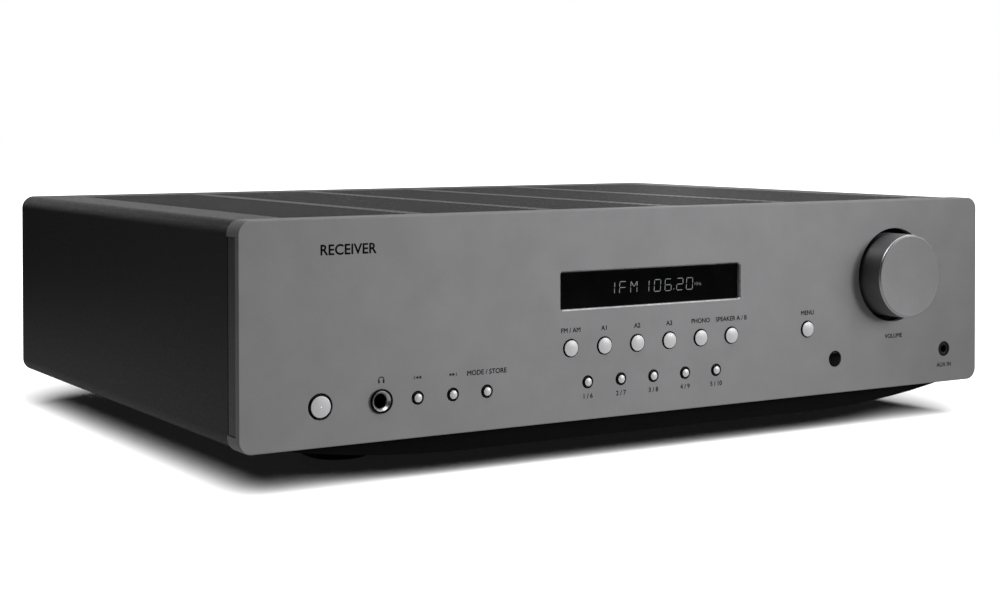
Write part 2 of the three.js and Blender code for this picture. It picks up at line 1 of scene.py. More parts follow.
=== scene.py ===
"""The looks of a stereo receiver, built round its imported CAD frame.

Shapes are worked out in panel millimetres: x across from the front panel's centre, y behind the
panel's front face and z above its lower edge. PANEL_TO_ROW then puts them in the row frame.
"""
import json
import math

import bmesh
import bpy
from mathutils import Matrix, Vector
from mathutils.geometry import tessellate_polygon


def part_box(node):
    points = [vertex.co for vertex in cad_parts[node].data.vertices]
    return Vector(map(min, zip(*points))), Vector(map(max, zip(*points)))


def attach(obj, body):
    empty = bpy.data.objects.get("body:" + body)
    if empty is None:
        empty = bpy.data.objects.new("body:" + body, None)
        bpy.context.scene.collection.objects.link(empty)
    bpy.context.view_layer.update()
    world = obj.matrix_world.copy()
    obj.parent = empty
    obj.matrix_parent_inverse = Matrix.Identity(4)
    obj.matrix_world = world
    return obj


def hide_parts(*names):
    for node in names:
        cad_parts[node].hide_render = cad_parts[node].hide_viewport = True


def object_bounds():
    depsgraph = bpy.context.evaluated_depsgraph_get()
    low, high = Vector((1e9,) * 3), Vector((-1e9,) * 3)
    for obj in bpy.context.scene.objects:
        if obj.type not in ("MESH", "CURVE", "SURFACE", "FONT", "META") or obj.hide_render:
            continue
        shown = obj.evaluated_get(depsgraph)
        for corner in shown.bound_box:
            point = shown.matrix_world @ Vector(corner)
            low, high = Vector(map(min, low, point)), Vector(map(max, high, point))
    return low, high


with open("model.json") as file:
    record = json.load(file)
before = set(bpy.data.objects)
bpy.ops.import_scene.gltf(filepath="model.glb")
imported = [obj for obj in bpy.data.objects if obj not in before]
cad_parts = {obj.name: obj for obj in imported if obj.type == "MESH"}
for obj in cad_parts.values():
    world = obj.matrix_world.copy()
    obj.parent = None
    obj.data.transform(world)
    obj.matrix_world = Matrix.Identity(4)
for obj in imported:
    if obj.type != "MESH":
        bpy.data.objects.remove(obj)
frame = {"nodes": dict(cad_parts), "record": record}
cad_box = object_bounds()

# ---------------- sizes read from the frame

MM = 0.001
panel_low, panel_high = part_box("front_panel")
PANEL_TO_ROW = (
    Matrix.Translation(((panel_low.x + panel_high.x) / 2, panel_low.y, panel_low.z))
    @ Matrix.Scale(MM, 4)
)
ROW_TO_PANEL = PANEL_TO_ROW.inverted()
BODY_OF = {
    node: body
    for body, nodes in frame["record"]["behaviour"]["bodies"].items()
    for node in nodes
}
SLOT_OF = {row["node"]: row["material_slot"] for row in frame["record"]["subparts"]}
JOINTS = {joint["name"]: joint for joint in frame["record"]["behaviour"]["joints"]}


class Span:
    """A CAD node's box in panel millimetres."""

    def __init__(self, node):
        low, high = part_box(node)
        self.low = ROW_TO_PANEL @ low
        self.high = ROW_TO_PANEL @ high
        self.centre = (self.low + self.high) / 2
        self.size = self.high - self.low


PANEL = Span("front_panel")
COVER = Span("top_cover")
DISPLAY = Span("display_window").centre
KNOB = Span("volume_knob")
HEADPHONE = Span("headphone_socket").centre
AUX = Span("aux_socket").centre
INFRARED = Span("infrared_window").centre

PLATE_THICKNESS = 3
PANEL_CORNER = 6
PANEL_EDGE = 0.5
RETURN_THICKNESS = 2
NOTCH_MARGIN = 7
NOTCH_DEPTH = 4
HOLE_EDGE = 0.2
KNOB_HOLE = 24.4
HEADPHONE_HOLE = 4.9
AUX_HOLE = 3.95
INFRARED_HOLE = 4.15
DISPLAY_WIDTH = 105.6
DISPLAY_HEIGHT = 17.4
WINDOW_CHAMFER = 0.6
LENS_DEPTH = 1.7
LENS_GAP = 0.3

POWER_HOLE = 5.75
LARGE_HOLE = 4.3
SMALL_HOLE = 3.05
HOLE_CLEARANCE = 0.4
COLLAR_LEVEL = 0.6
LARGE_BUTTONS = [f"source_button_{i}" for i in range(1, 7)] + ["menu_button"]
SMALL_BUTTONS = [f"preset_button_{i}" for i in range(1, 6)] + [
    "skip_back_button", "skip_forward_button", "mode_button",
]
BUTTON_HOLES = {"power_button": POWER_HOLE}
BUTTON_HOLES.update({name: LARGE_HOLE for name in LARGE_BUTTONS})
BUTTON_HOLES.update({name: SMALL_HOLE for name in SMALL_BUTTONS})
BUTTON_FACE_SHARES = {POWER_HOLE: 0.82, LARGE_HOLE: 0.88, SMALL_HOLE: 0.64}


# ---------------- materials

LOOKS = {}


class Finish:
    """A principled material with procedural colour, roughness, bump and worn edges."""

    def __init__(self, name, metallic=0.0, coat=0.0, specular=0.5):
        self.name = name
        self.material = bpy.data.materials.new(name)
        self.material.use_nodes = True
        self.nodes = self.material.node_tree.nodes
        self.links = self.material.node_tree.links
        self.shader = self.nodes["Principled BSDF"]
        self.shade(Metallic=metallic, Coat_Weight=coat, Specular_IOR_Level=specular)
        self.place = self.nodes.new("ShaderNodeTexCoord").outputs["Object"]
        self.colour = None

    def add(self, kind, settings=(), **values):
        """A node; values are its inputs, either numbers or sockets to link."""
        node = self.nodes.new(kind)
        for name, value in dict(settings).items():
            setattr(node, name, value)
        for name, value in values.items():
            self.feed(node.inputs[name.replace("_", " ")], value)
        return node

    def feed(self, socket, value):
        """Links a value that is a socket, and sets one that is a number or a colour."""
        if isinstance(value, bpy.types.NodeSocket):
            self.links.new(value, socket)
        else:
            socket.default_value = value

    def shade(self, **values):
        """Sets or links the shader's own inputs."""
        for name, value in values.items():
            self.feed(self.shader.inputs[name.replace("_", " ")], value)

    def combine(self, kind, operation, first, second):
        """A mathematics node on two values."""
        node = self.add(kind, settings={"operation": operation})
        self.feed(node.inputs[0], first)
        self.feed(node.inputs[1], second)
        return node

    def noise(self, scale, detail=2.0, stretch=None):
        """Noise in the piece's own space; the stretch is how much finer it is on each axis."""
        place = self.place
        if stretch:
            place = self.add("ShaderNodeMapping", Vector=place, Scale=stretch).outputs["Vector"]
        node = self.add("ShaderNodeTexNoise", Vector=place, Scale=scale, Detail=detail)
        return node.outputs["Fac"]

    def spread(self, value, low, high, start=0.3, stop=0.7):
        """Stretches a value from start..stop to low..high, kept inside those ends."""
        node = self.add("ShaderNodeMapRange", Value=value)
        for socket, number in zip(node.inputs[1:5], (start, stop, low, high)):
            socket.default_value = number
        return node.outputs["Result"]

    def blend(self, amount, first, second):
        """A mix of two colours, all of the second where the amount is 1."""
        node = self.nodes.new("ShaderNodeMix")
        node.data_type = "RGBA"
        for index, value in ((0, amount), (6, first), (7, second)):
            self.feed(node.inputs[index], value)
        return node.outputs[2]

    def tint(self, colour, variation, scale, stretch=None):
        """Base colour with slow and fast changes of shade."""
        dark = [c * (1 - variation) for c in colour] + [1]
        light = [min(1, c * (1 + variation)) for c in colour] + [1]
        self.colour = self.blend(self.spread(self.noise(scale, 4, stretch), 0, 1), dark, light)

    def speckle(self, colour, scale, amount):
        """Fine dots of another colour, such as metal flake or dust in paint."""
        dots = self.spread(self.noise(scale, 1), 0, amount, 0.62, 0.75)
        self.colour = self.blend(dots, self.colour, [*colour, 1])

    def gloss(self, roughness, variation, scale, stretch=None):
        """Roughness that wanders round its middle value."""
        value = self.noise(scale, 3, stretch)
        self.shade(Roughness=self.spread(value, roughness - variation, roughness + variation))

    def bump(self, height, height_mm, strength):
        """Relief of a real height, in millimetres, where the given height goes from 0 to 1."""
        node = self.add("ShaderNodeBump", Height=height, Strength=strength, Distance=height_mm * MM)
        self.shade(Normal=node.outputs["Normal"])

    def grain(self, scale, height_mm, strength, stretch=None):
        """Relief all over, such as blasting or a moulded texture."""
        self.bump(self.noise(scale, stretch=stretch), height_mm, strength)

    def wear(self, colour, radius_mm, amount):
        """A lighter, uneven line along the sharp edges."""
        rounded = self.add(
            "ShaderNodeBevel", settings={"samples": 4}, Radius=radius_mm * MM,
        ).outputs["Normal"]
        flat = self.nodes.new("ShaderNodeNewGeometry").outputs["Normal"]
        likeness = self.combine("ShaderNodeVectorMath", "DOT_PRODUCT", rounded, flat)
        edge = self.spread(likeness.outputs["Value"], 1, 0, 0.75, 0.99)
        patches = self.spread(self.noise(160, 4), 0.2 * amount, amount)
        mask = self.combine("ShaderNodeMath", "MULTIPLY", edge, patches)
        self.colour = self.blend(mask.outputs[0], self.colour, [*colour, 1])

    def done(self):
        """Files the material under its look's name, once its base colour is complete."""
        self.shade(Base_Color=self.colour)
        LOOKS[self.name] = self.material


def panel_aluminium():
    """Grey anodised aluminium with a fine bead-blasted grain."""
    look = Finish("panel_aluminium", metallic=0.2, specular=0.3)
    look.tint((0.235, 0.235, 0.240), 0.045, 60)
    look.speckle((0.33, 0.33, 0.335), 1600, 0.35)
    look.wear((0.50, 0.50, 0.51), 0.25, 0.4)
    look.gloss(0.5, 0.05, 1200)
    look.grain(2000, 0.03, 0.4)
    look.done()


def turned_aluminium():
    """The knob's lathe-turned side, whose highlight is drawn out by the turning marks."""
    look = Finish("turned_aluminium", metallic=0.9)
    look.tint((0.19, 0.19, 0.195), 0.06, 40, (1, 30, 1))
    look.gloss(0.5, 0.05, 300, (1, 30, 1))
    look.grain(900, 0.01, 0.5, (1, 30, 1))
    around = look.add("ShaderNodeTangent", settings={"direction_type": "RADIAL", "axis": "Y"})
    look.shade(Tangent=around.outputs["Tangent"], Anisotropic=0.8, Anisotropic_Rotation=0.25)
    look.done()


def case_steel():
    """Satin black powder coat with a fine orange-peel texture."""
    look = Finish("case_steel", specular=0.2)
    look.tint((0.009, 0.009, 0.0093), 0.12, 14)
    look.speckle((0.035, 0.035, 0.036), 2400, 0.3)
    look.wear((0.05, 0.05, 0.052), 0.3, 0.4)
    look.gloss(0.42, 0.06, 700)
    look.grain(1500, 0.035, 0.5)
    look.done()


def moulded_black(name, colour, roughness, specular):
    """Moulded plastic with a spark-eroded texture."""
    look = Finish(name, specular=specular)
    look.tint(colour, 0.15, 40)
    look.wear([4 * c for c in colour], 0.3, 0.35)
    look.gloss(roughness, 0.07, 900)
    look.grain(1800, 0.03, 0.5)
    look.done()


def rubber():
    """Dull black rubber with a coarse, dusty grain."""
    look = Finish("rubber", specular=0.3)
    look.tint((0.011, 0.011, 0.011), 0.25, 60)
    look.speckle((0.05, 0.05, 0.05), 1300, 0.35)
    look.gloss(0.8, 0.08, 400)
    look.grain(900, 0.06, 0.7)
    look.done()


def smoked_lens(name):
    """Polished, nearly opaque acrylic with faint dust."""
    look = Finish(name, specular=0.15)
    look.tint((0.002, 0.002, 0.0022), 0.2, 25)
    look.speckle((0.006, 0.006, 0.006), 1800, 0.25)
    look.gloss(0.12, 0.04, 90)
    look.grain(240, 0.002, 0.3)
    look.done()


def circuit_board():
    """Green solder resist over copper tracks."""
    look = Finish("circuit_board", coat=0.3)
    look.tint((0.010, 0.055, 0.020), 0.2, 120)
    tracks = look.add(
        "ShaderNodeTexBrick", Vector=look.place, Scale=260, Mortar_Size=0.09,
        Color1=(0, 0, 0, 1), Color2=(0, 0, 0, 1), Mortar=(1, 1, 1, 1),
    ).outputs["Color"]
    look.colour = look.blend(tracks, look.colour, [0.03, 0.14, 0.05, 1])
    look.gloss(0.35, 0.08, 300)
    look.grain(500, 0.03, 0.4)
    look.done()


def metal(name, colour, roughness, scale=500, wear=0.3):
    """Bare or plated metal with edges rubbed brighter."""
    look = Finish(name, metallic=1.0)
    look.tint(colour, 0.08, 60)
    look.wear([min(1, 1.4 * c) for c in colour], 0.25, wear)
    look.gloss(roughness, 0.08, scale)
    look.grain(scale * 2, 0.01, 0.4)
    look.done()


def transformer_winding():
    """Enamelled copper wire laid round the ring, with overlapping turns."""
    look = Finish("transformer_winding", metallic=0.7)
    look.tint((0.42, 0.17, 0.06), 0.25, 200)
    wire = look.add(
        "ShaderNodeTexWave", settings={"bands_direction": "DIAGONAL"}, Vector=look.place,
        Scale=420, Distortion=2.0, Detail=2.0,
    ).outputs["Fac"]
    look.colour = look.blend(look.spread(wire, 0.5, 0), look.colour, [0.08, 0.03, 0.01, 1])
    look.gloss(0.35, 0.1, 300)
    look.bump(wire, 0.3, 0.8)
    look.done()


def button_silver():
    """Satin silver paint over plastic."""
    look = Finish("button_silver", metallic=0.25, specular=0.4)
    look.tint((0.58, 0.58, 0.59), 0.03, 120)
    look.speckle((0.85, 0.85, 0.86), 5000, 0.3)
    look.gloss(0.34, 0.05, 1500)
    look.grain(3200, 0.01, 0.3)
    look.done()


def terminal_plastic(name, colour):
    """Clear-coated coloured plastic, as on binding posts."""
    look = Finish(name, coat=0.5)
    look.tint(colour, 0.1, 80)
    look.wear([min(1, 1.6 * c + 0.02) for c in colour], 0.3, 0.3)
    look.gloss(0.28, 0.06, 500)
    look.grain(900, 0.015, 0.4)
    look.done()


def print_ink(name, colour):
    """Screen-printed ink, slightly uneven."""
    look = Finish(name, specular=0.3)
    look.tint(colour, 0.12, 900)
    look.gloss(0.55, 0.08, 1500)
    look.grain(4000, 0.004, 0.5)
    look.done()


def lit(name, strength):
    """The dim glow of a display's segments or of a pilot lamp."""
    look = Finish(name)
    look.tint((0.16, 0.165, 0.17), 0.15, 700)
    look.gloss(0.4, 0.05, 900)
    look.shade(Emission_Color=look.colour, Emission_Strength=strength)
    look.done()


panel_aluminium()
case_steel()
turned_aluminium()
moulded_black("black_plastic", (0.008, 0.008, 0.0083), 0.5, 0.25)
moulded_black("dull_black", (0.003, 0.003, 0.0031), 0.75, 0.06)
moulded_black("grey_plastic", (0.045, 0.045, 0.046), 0.4, 0.5)
rubber()
smoked_lens("smoked_lens")
smoked_lens("display_glass")
circuit_board()
metal("zinc_steel", (0.52, 0.53, 0.55), 0.34)
metal("heatsink_aluminium", (0.035, 0.035, 0.037), 0.42, wear=0.6)
metal("nickel", (0.62, 0.60, 0.56), 0.16, 300)
transformer_winding()
terminal_plastic("capacitor_sleeve", (0.012, 0.014, 0.022))
button_silver()
terminal_plastic("terminal_red", (0.42, 0.012, 0.012))
terminal_plastic("terminal_black", (0.014, 0.014, 0.015))
metal("satin_nickel", (0.85, 0.85, 0.85), 0.38, 300)
metal("polished_edge", (0.60, 0.60, 0.61), 0.33, 300)
print_ink("black_ink", (0.004, 0.004, 0.004))
print_ink("white_ink", (0.70, 0.70, 0.68))
terminal_plastic("white_plastic", (0.62, 0.62, 0.60))
lit("lit_segments", 0.42)
lit("pilot_light", 7)


# ---------------- mesh building

def on_front(a, b, level):
    """An outline across the front: a is x, b is z, level is y."""
    return (a, level, b)


def on_top(a, b, level):
    """An outline across the top: a is x, b is y, level is z."""
    return (a, b, level)


def circle(x, z, radius, count=64):
    """A round outline that can be asked for larger or smaller."""
    turns = [2 * math.pi * i / count for i in range(count)]

    def outline(grow=0.0):
        reach = radius + grow
        return [(x + reach * math.cos(t), z + reach * math.sin(t)) for t in turns]

    return outline


def rounded_rectangle(x, z, width, height, radius, steps=8):
    """A rounded outline that can be asked for larger or smaller."""
    centres = [(1, 1, 0), (-1, 1, 90), (-1, -1, 180), (1, -1, 270)]

    def outline(grow=0.0):
        points = []
        for side_x, side_z, start in centres:
            centre_x = x + side_x * (width / 2 - radius)
            centre_z = z + side_z * (height / 2 - radius)
            for step in range(steps + 1):
                turn = math.radians(start + 90 * step / steps)
                reach = radius + grow
                points.append((
                    centre_x + reach * math.cos(turn), centre_z + reach * math.sin(turn),
                ))
        return points

    return outline


def ring(bm, points, level, place=on_front):
    """New vertices at an outline's points."""
    return [bm.verts.new(place(a, b, level)) for a, b in points]


def skin(bm, rings):
    """Joins each ring to the next; a ring of one vertex is a point."""
    for first, second in zip(rings, rings[1:]):
        count = max(len(first), len(second))
        if count == 1:
            continue
        for i in range(count):
            j = (i + 1) % count
            corners = [
                first[i % len(first)], first[j % len(first)],
                second[j % len(second)], second[i % len(second)],
            ]
            bm.faces.new(list(dict.fromkeys(corners)))


def cap(bm, loops):
    """Fills the first loop, leaving the others open as holes."""
    vertices = [vertex for loop in loops for vertex in loop]
    for corners in tessellate_polygon([[vertex.co for vertex in loop] for loop in loops]):
        bm.faces.new([vertices[i] for i in corners])


def edge_rings(bm, outline, level, radius, side, place=on_front, inward=1, steps=4):
    """Rings round an edge. side is -1 on an outer edge and 1 on a hole's edge."""
    rings = []
    for step in range(steps + 1):
        turn = math.radians(90 * step / steps)
        inset = side * radius * (1 - math.sin(turn))
        depth = inward * radius * (1 - math.cos(turn))
        rings.append(ring(bm, outline(inset), level + depth, place))
    return rings


def pierce(bm, fronts, backs, holes, front, back, place=on_front, inward=1):
    """Caps a sheet round its holes, each given as an outline, an edge radius and steps."""
    for outline, radius, steps in holes:
        rings = edge_rings(bm, outline, front, radius, 1, place, inward, steps)
        rings.append(ring(bm, outline(), back, place))
        skin(bm, rings)
        fronts.append(rings[0])
        backs.append(rings[-1])
    cap(bm, fronts)
    cap(bm, backs)


def plate(bm, outer, holes, front, back, edge):
    """A flat plate whose front edges are rounded, round it and round its holes."""
    rings = edge_rings(bm, outer, front, edge, -1)
    rings.append(ring(bm, outer(), back))
    skin(bm, rings)
    pierce(bm, [rings[0]], [rings[-1]], [(hole, edge, 4) for hole in holes], front, back)


def slab(bm, points, front, back):
    """A thin flat shape with plain edges."""
    rings = [ring(bm, points, level) for level in (front, back)]
    skin(bm, rings)
    for end in rings:
        cap(bm, [end])


def lathe(bm, x, z, profile, segments=64, place=on_front, ripple=None):
    """Turns [radius, level] points; ripple is (count, depth, least radius) for flutes."""
    rings = []
    for radius, level in profile:
        if radius == 0:
            rings.append([bm.verts.new(place(x, z, level))])
            continue
        points = []
        for i in range(segments):
            turn = 2 * math.pi * i / segments
            reach = radius
            if ripple and radius >= ripple[2]:
                reach -= ripple[1] * (0.5 + 0.5 * math.cos(ripple[0] * turn)) ** 2
            points.append((x + reach * math.cos(turn), z + reach * math.sin(turn)))
        rings.append(ring(bm, points, level, place))
    skin(bm, rings)


def rounded_profile(radius, level, corner, steps):
    """Points round a lathe's outer corner, from its face to its side."""
    points = []
    for step in range(steps + 1):
        turn = math.radians(90 * step / steps)
        points.append((
            radius - corner * (1 - math.sin(turn)), level + corner * (1 - math.cos(turn)),
        ))
    return points


def box(bm, x, y, z):
    """A plain box between two values on each axis, for cutting or small parts."""
    made = bmesh.ops.create_cube(bm, size=1)["verts"]
    size = (x[1] - x[0], y[1] - y[0], z[1] - z[0])
    middle = ((x[0] + x[1]) / 2, (y[0] + y[1]) / 2, (z[0] + z[1]) / 2)
    bmesh.ops.scale(bm, vec=size, verts=made)
    bmesh.ops.translate(bm, vec=middle, verts=made)


def mesh_of(bm, name):
    """The shape as a mesh; the shape itself is given up."""
    mesh = bpy.data.meshes.new(name)
    bm.to_mesh(mesh)
    bm.free()
    return mesh


def new_object(name, data):
    """An object in the scene."""
    holder = bpy.data.objects.new(name, data)
    bpy.context.scene.collection.objects.link(holder)
    return holder


def temporary_object(bm):
    """An object made from a shape, for a modifier to work on."""
    bmesh.ops.recalc_face_normals(bm, faces=bm.faces)
    return new_object("temporary", mesh_of(bm, "temporary"))


def subtract(bm, cutter):
    """The first shape with the second cut away."""
    body = temporary_object(bm)
    tool = temporary_object(cutter)
    modifier = body.modifiers.new("cut", "BOOLEAN")
    modifier.object = tool
    modifier.operation = "DIFFERENCE"
    modifier.solver = "EXACT"
    graph = bpy.context.evaluated_depsgraph_get()
    mesh = bpy.data.meshes.new_from_object(body.evaluated_get(graph))
    result = bmesh.new()
    result.from_mesh(mesh)
    for holder in (body, tool):
        bpy.data.objects.remove(holder)
    return result


def make_piece(name, bm, look, body="chassis", slot=None, replaces=(), smooth_angle=32):
    """Turns a shape in panel millimetres into a piece that rides on a body."""
    bmesh.ops.remove_doubles(bm, verts=bm.verts, dist=0.0005)
    bmesh.ops.recalc_face_normals(bm, faces=bm.faces)
    bm.transform(PANEL_TO_ROW)
    mesh = mesh_of(bm, name)
    mesh.shade_smooth()
    mesh.set_sharp_from_angle(angle=math.radians(smooth_angle))
    mesh.materials.append(LOOKS[look])
    piece = new_object(name, mesh)
    normals = piece.modifiers.new("even_normals", "WEIGHTED_NORMAL")
    normals.keep_sharp = True
    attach(piece, body)
    if replaces:
        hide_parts(*replaces)
    return piece


def second_look(piece, look, chosen):
    """Gives another material to chosen faces, told by centre in panel mm and by normal."""
    piece.data.materials.append(LOOKS[look])
    index = len(piece.data.materials) - 1
    for face in piece.data.polygons:
        if chosen(ROW_TO_PANEL @ face.center, face.normal):
            face.material_index = index


def turned_piece(name, centre, profile, segments, look, place=on_front, ripple=None, **riding):
    """A piece that is one lathed shape."""
    bm = bmesh.new()
    across = centre.y if place is on_top else centre.z
    lathe(bm, centre.x, across, profile, segments, place, ripple)
    return make_piece(name, bm, look, **riding)


CAPITAL_SHARE = 0.70
INK_LEVEL = -0.012
INK_FRONT = -0.022
INK_BACK = -0.002


def write(bm, text, x, z, height, level=INK_LEVEL, align="CENTER", facing=1, weight=0.07):
    """Adds raised print; x and z are the middle of the capitals, facing is -1 at the rear.

    The font's size is the capitals' height over CAPITAL_SHARE. Copies shifted by the weight,
    in millimetres, make the strokes bolder.
    """
    curve = bpy.data.curves.new("lettering", "FONT")
    curve.body = text
    curve.align_x = align
    curve.size = height / CAPITAL_SHARE
    curve.extrude = 0.01
    curve.resolution_u = 4
    holder = new_object("lettering", curve)
    graph = bpy.context.evaluated_depsgraph_get()
    mesh = bpy.data.meshes.new_from_object(holder.evaluated_get(graph))
    bpy.data.objects.remove(holder)
    for across, up in ((-weight, 0), (weight, 0), (0, -weight), (0, weight)):
        letters = bmesh.new()
        letters.from_mesh(mesh)
        letters.transform(Matrix((
            (facing, 0, 0, x + across),
            (0, 0, -facing, level),
            (0, 1, 0, z - height / 2 + up),
            (0, 0, 0, 1),
        )))
        bm.from_mesh(mesh_of(letters, "lettering"))


# ---------------- front panel and case

def fascia_holes():
    """Each hole in the front panel: its outline, and its edge's radius and steps."""
    sockets = [(HEADPHONE, HEADPHONE_HOLE), (AUX, AUX_HOLE), (INFRARED, INFRARED_HOLE)]
    buttons = [(Span(name).centre, radius) for name, radius in BUTTON_HOLES.items()]
    window = rounded_rectangle(DISPLAY.x, DISPLAY.z, DISPLAY_WIDTH, DISPLAY_HEIGHT, 1, 5)
    holes = [(circle(KNOB.centre.x, KNOB.centre.z, KNOB_HOLE, 128), HOLE_EDGE, 3)]
    holes += [(circle(centre.x, centre.z, radius), HOLE_EDGE, 3) for centre, radius in sockets]
    holes.append((window, WINDOW_CHAMFER, 1))
    holes += [(circle(centre.x, centre.z, radius), HOLE_EDGE, 3) for centre, radius in buttons]
    return holes


def fascia():
    """The front panel: a plate with rounded edges, drilled and windowed, with a return behind."""
    bm = bmesh.new()
    middle = PANEL.size.z / 2
    outer = rounded_rectangle(0, middle, PANEL.size.x, PANEL.size.z, PANEL_CORNER, 14)
    rings = edge_rings(bm, outer, 0, PANEL_EDGE, -1)
    rings.append(ring(bm, outer(), PANEL.size.y))
    rings.append(ring(bm, outer(-RETURN_THICKNESS), PANEL.size.y))
    rings.append(ring(bm, outer(-RETURN_THICKNESS), PLATE_THICKNESS))
    skin(bm, rings)
    pierce(bm, [rings[0]], [rings[-1]], fascia_holes(), 0, PLATE_THICKNESS)
    piece = make_piece(
        "fascia", subtract(bm, side_notches()), "panel_aluminium", replaces=["front_panel"],
    )
    second_look(piece, "polished_edge", window_lip)


def side_notches():
    """What is cut from the return at both sides, where the sub-frame shows."""
    notches = bmesh.new()
    for side in (-1, 1):
        edge = side * PANEL.size.x / 2
        box(
            notches, (edge - NOTCH_DEPTH, edge + NOTCH_DEPTH), (PLATE_THICKNESS, PANEL.size.y + 1),
            (NOTCH_MARGIN, PANEL.size.z - NOTCH_MARGIN),
        )
    return notches


def window_lip(place, normal):
    """Whether a face of the fascia lies on the chamfer round the display window."""
    across = abs(place.x - DISPLAY.x) - DISPLAY_WIDTH / 2
    up = abs(place.z - DISPLAY.z) - DISPLAY_HEIGHT / 2
    return -0.8 < normal.y < -0.6 and -0.1 < max(across, up) < WINDOW_CHAMFER + 0.1


SHEET = 1.2
VENT_COLUMNS = [(-187, -123.5), (-115.5, -53.5), (-45.5, 16.5), (24.5, 91), (99, 187)]
VENT_ROWS = 40
VENT_FRONT = 14
VENT_BACK = 280
VENT_SHARE = 0.66
COVER_CORNER = 6.5
LIP_INNER_X = 201.2


def vent_slots():
    """Every slot in the cover's top: its outline, and its edge's radius and steps."""
    pitch = (VENT_BACK - VENT_FRONT) / VENT_ROWS
    width = pitch * VENT_SHARE
    slots = []
    for left, right in VENT_COLUMNS:
        for row in range(VENT_ROWS):
            centre_y = VENT_FRONT + row * pitch + width / 2
            outline = rounded_rectangle(
                (left + right) / 2, centre_y, right - left, width, width / 2 - 0.02, 4,
            )
            slots.append((outline, 0.05, 1))
    return slots


def cover_top(bm, corner_x):
    """The flat sheet between the two bends, with its slots."""
    front, back, top = COVER.low.y, COVER.high.y, COVER.high.z
    corners = [(corner_x, back), (-corner_x, back), (-corner_x, front), (corner_x, front)]
    outside = ring(bm, corners, top, on_top)
    inside = ring(bm, corners, top - SHEET, on_top)
    for first, second in ((0, 1), (2, 3)):
        bm.faces.new((outside[first], outside[second], inside[second], inside[first]))
    pierce(bm, [outside], [inside], vent_slots(), top, top - SHEET, on_top, -1)


def cover_side(bm, corner_x, side):
    """One side: two bends with the wall between them, and the lip turned in underneath."""
    top, low = COVER.high.z, COVER.low.z
    outer, inner = [], []
    for centre_z, start in ((top - COVER_CORNER, 90), (low + COVER_CORNER, 0)):
        for step in range(11):
            turn = math.radians(start - 9 * step)
            across, up = math.cos(turn), math.sin(turn)
            for path, radius in ((outer, COVER_CORNER), (inner, COVER_CORNER - SHEET)):
                path.append((side * (corner_x + radius * across), centre_z + radius * up))
    outer.append((side * LIP_INNER_X, low))
    inner.append((side * LIP_INNER_X, low + SHEET))
    section = outer + inner[::-1]
    at_front = ring(bm, section, COVER.low.y)
    at_back = ring(bm, section, COVER.high.y)
    last = len(section)
    for i in range(last - 1):
        bm.faces.new((at_front[i], at_front[i + 1], at_back[i + 1], at_back[i]))
    for end in (at_front, at_back):
        for i in range(len(outer) - 1):
            bm.faces.new((end[i], end[i + 1], end[last - 2 - i], end[last - 1 - i]))


def case_cover():
    """One bent sheet with rounded corners, turned in underneath, with rows of slots on top."""
    bm = bmesh.new()
    corner_x = COVER.size.x / 2 - COVER_CORNER
    cover_top(bm, corner_x)
    for side in (-1, 1):
        cover_side(bm, corner_x, side)
    make_piece("case_cover", bm, "case_steel", replaces=["top_cover"])


fascia()
case_cover()


# ---------------- front controls

KNOB_DISH = 0.45
KNOB_CORNER = 1.3
BUTTON_RIM = 0.25
BUTTON_SAG = 0.35


def volume_knob():
    """A turned knob with a slightly dished face and a bright rounded edge."""
    radius = KNOB.size.x / 2
    face, rear = KNOB.low.y, KNOB.high.y
    dished = radius - 1.8
    profile = [(r, face + KNOB_DISH * (1 - (r / dished) ** 2)) for r in (0, 5, 9, 12, 15, 18)]
    profile += [(radius - 1.9, face + 0.05), (radius - 1.75, face)]
    profile += rounded_profile(radius, face, KNOB_CORNER, 8)
    profile += [(radius, rear - 0.4), (radius - 0.4, rear), (3.4, rear), (3.4, -6), (0, -6)]
    piece = turned_piece(
        "knob_body", KNOB.centre, profile, 160, "panel_aluminium",
        body="volume", replaces=["volume_knob"],
    )
    second_look(piece, "turned_aluminium", lambda place, normal: normal.y > -0.3)
    second_look(piece, "polished_edge", lambda place, normal: -0.93 < normal.y < -0.3)


def push_button(name, hole):
    """A crowned bright face. Its side and the collar that fills the hole are black, as painted shade
    round the face.
    """
    span = Span(name)
    collar = hole - HOLE_CLEARANCE
    flange = hole + 1.2
    radius = hole * BUTTON_FACE_SHARES[hole]
    crown = radius - BUTTON_RIM
    face, back = span.low.y, span.high.y
    profile = [(crown * share, face + BUTTON_SAG * share ** 2) for share in (0, 0.25, 0.5, 0.75)]
    profile += rounded_profile(radius, face + BUTTON_SAG, BUTTON_RIM, 6)
    profile += [(radius, COLLAR_LEVEL), (collar - 0.2, COLLAR_LEVEL), (collar, COLLAR_LEVEL + 0.2)]
    profile += [(collar, PLATE_THICKNESS + 0.3), (flange, PLATE_THICKNESS + 0.3)]
    profile += [(flange, PLATE_THICKNESS + 1.5), (1.5, PLATE_THICKNESS + 1.5), (1.5, back), (0, back)]
    piece = turned_piece(
        name + "_cap", span.centre, profile, 56, "button_silver",
        body=BODY_OF[name], replaces=[name],
    )
    # Painted shade: the cap's side and everything from the collar back take black plastic, drawing
    # the dark ring of shade round the bright face.
    second_look(
        piece, "black_plastic",
        lambda place, normal: normal.y > -0.62 or place.y > COLLAR_LEVEL - 0.05,
    )


def power_lamp():
    """The pinhole lamp in the middle of the power button."""
    span = Span("power_button")
    face = span.low.y
    profile = [(0, face - 0.06), (0.22, face - 0.03), (0.3, face + 0.3), (0, face + 0.3)]
    turned_piece(
        "power_lamp", span.centre, profile, 20, "pilot_light",
        body="power_button", slot="button_silver",
    )


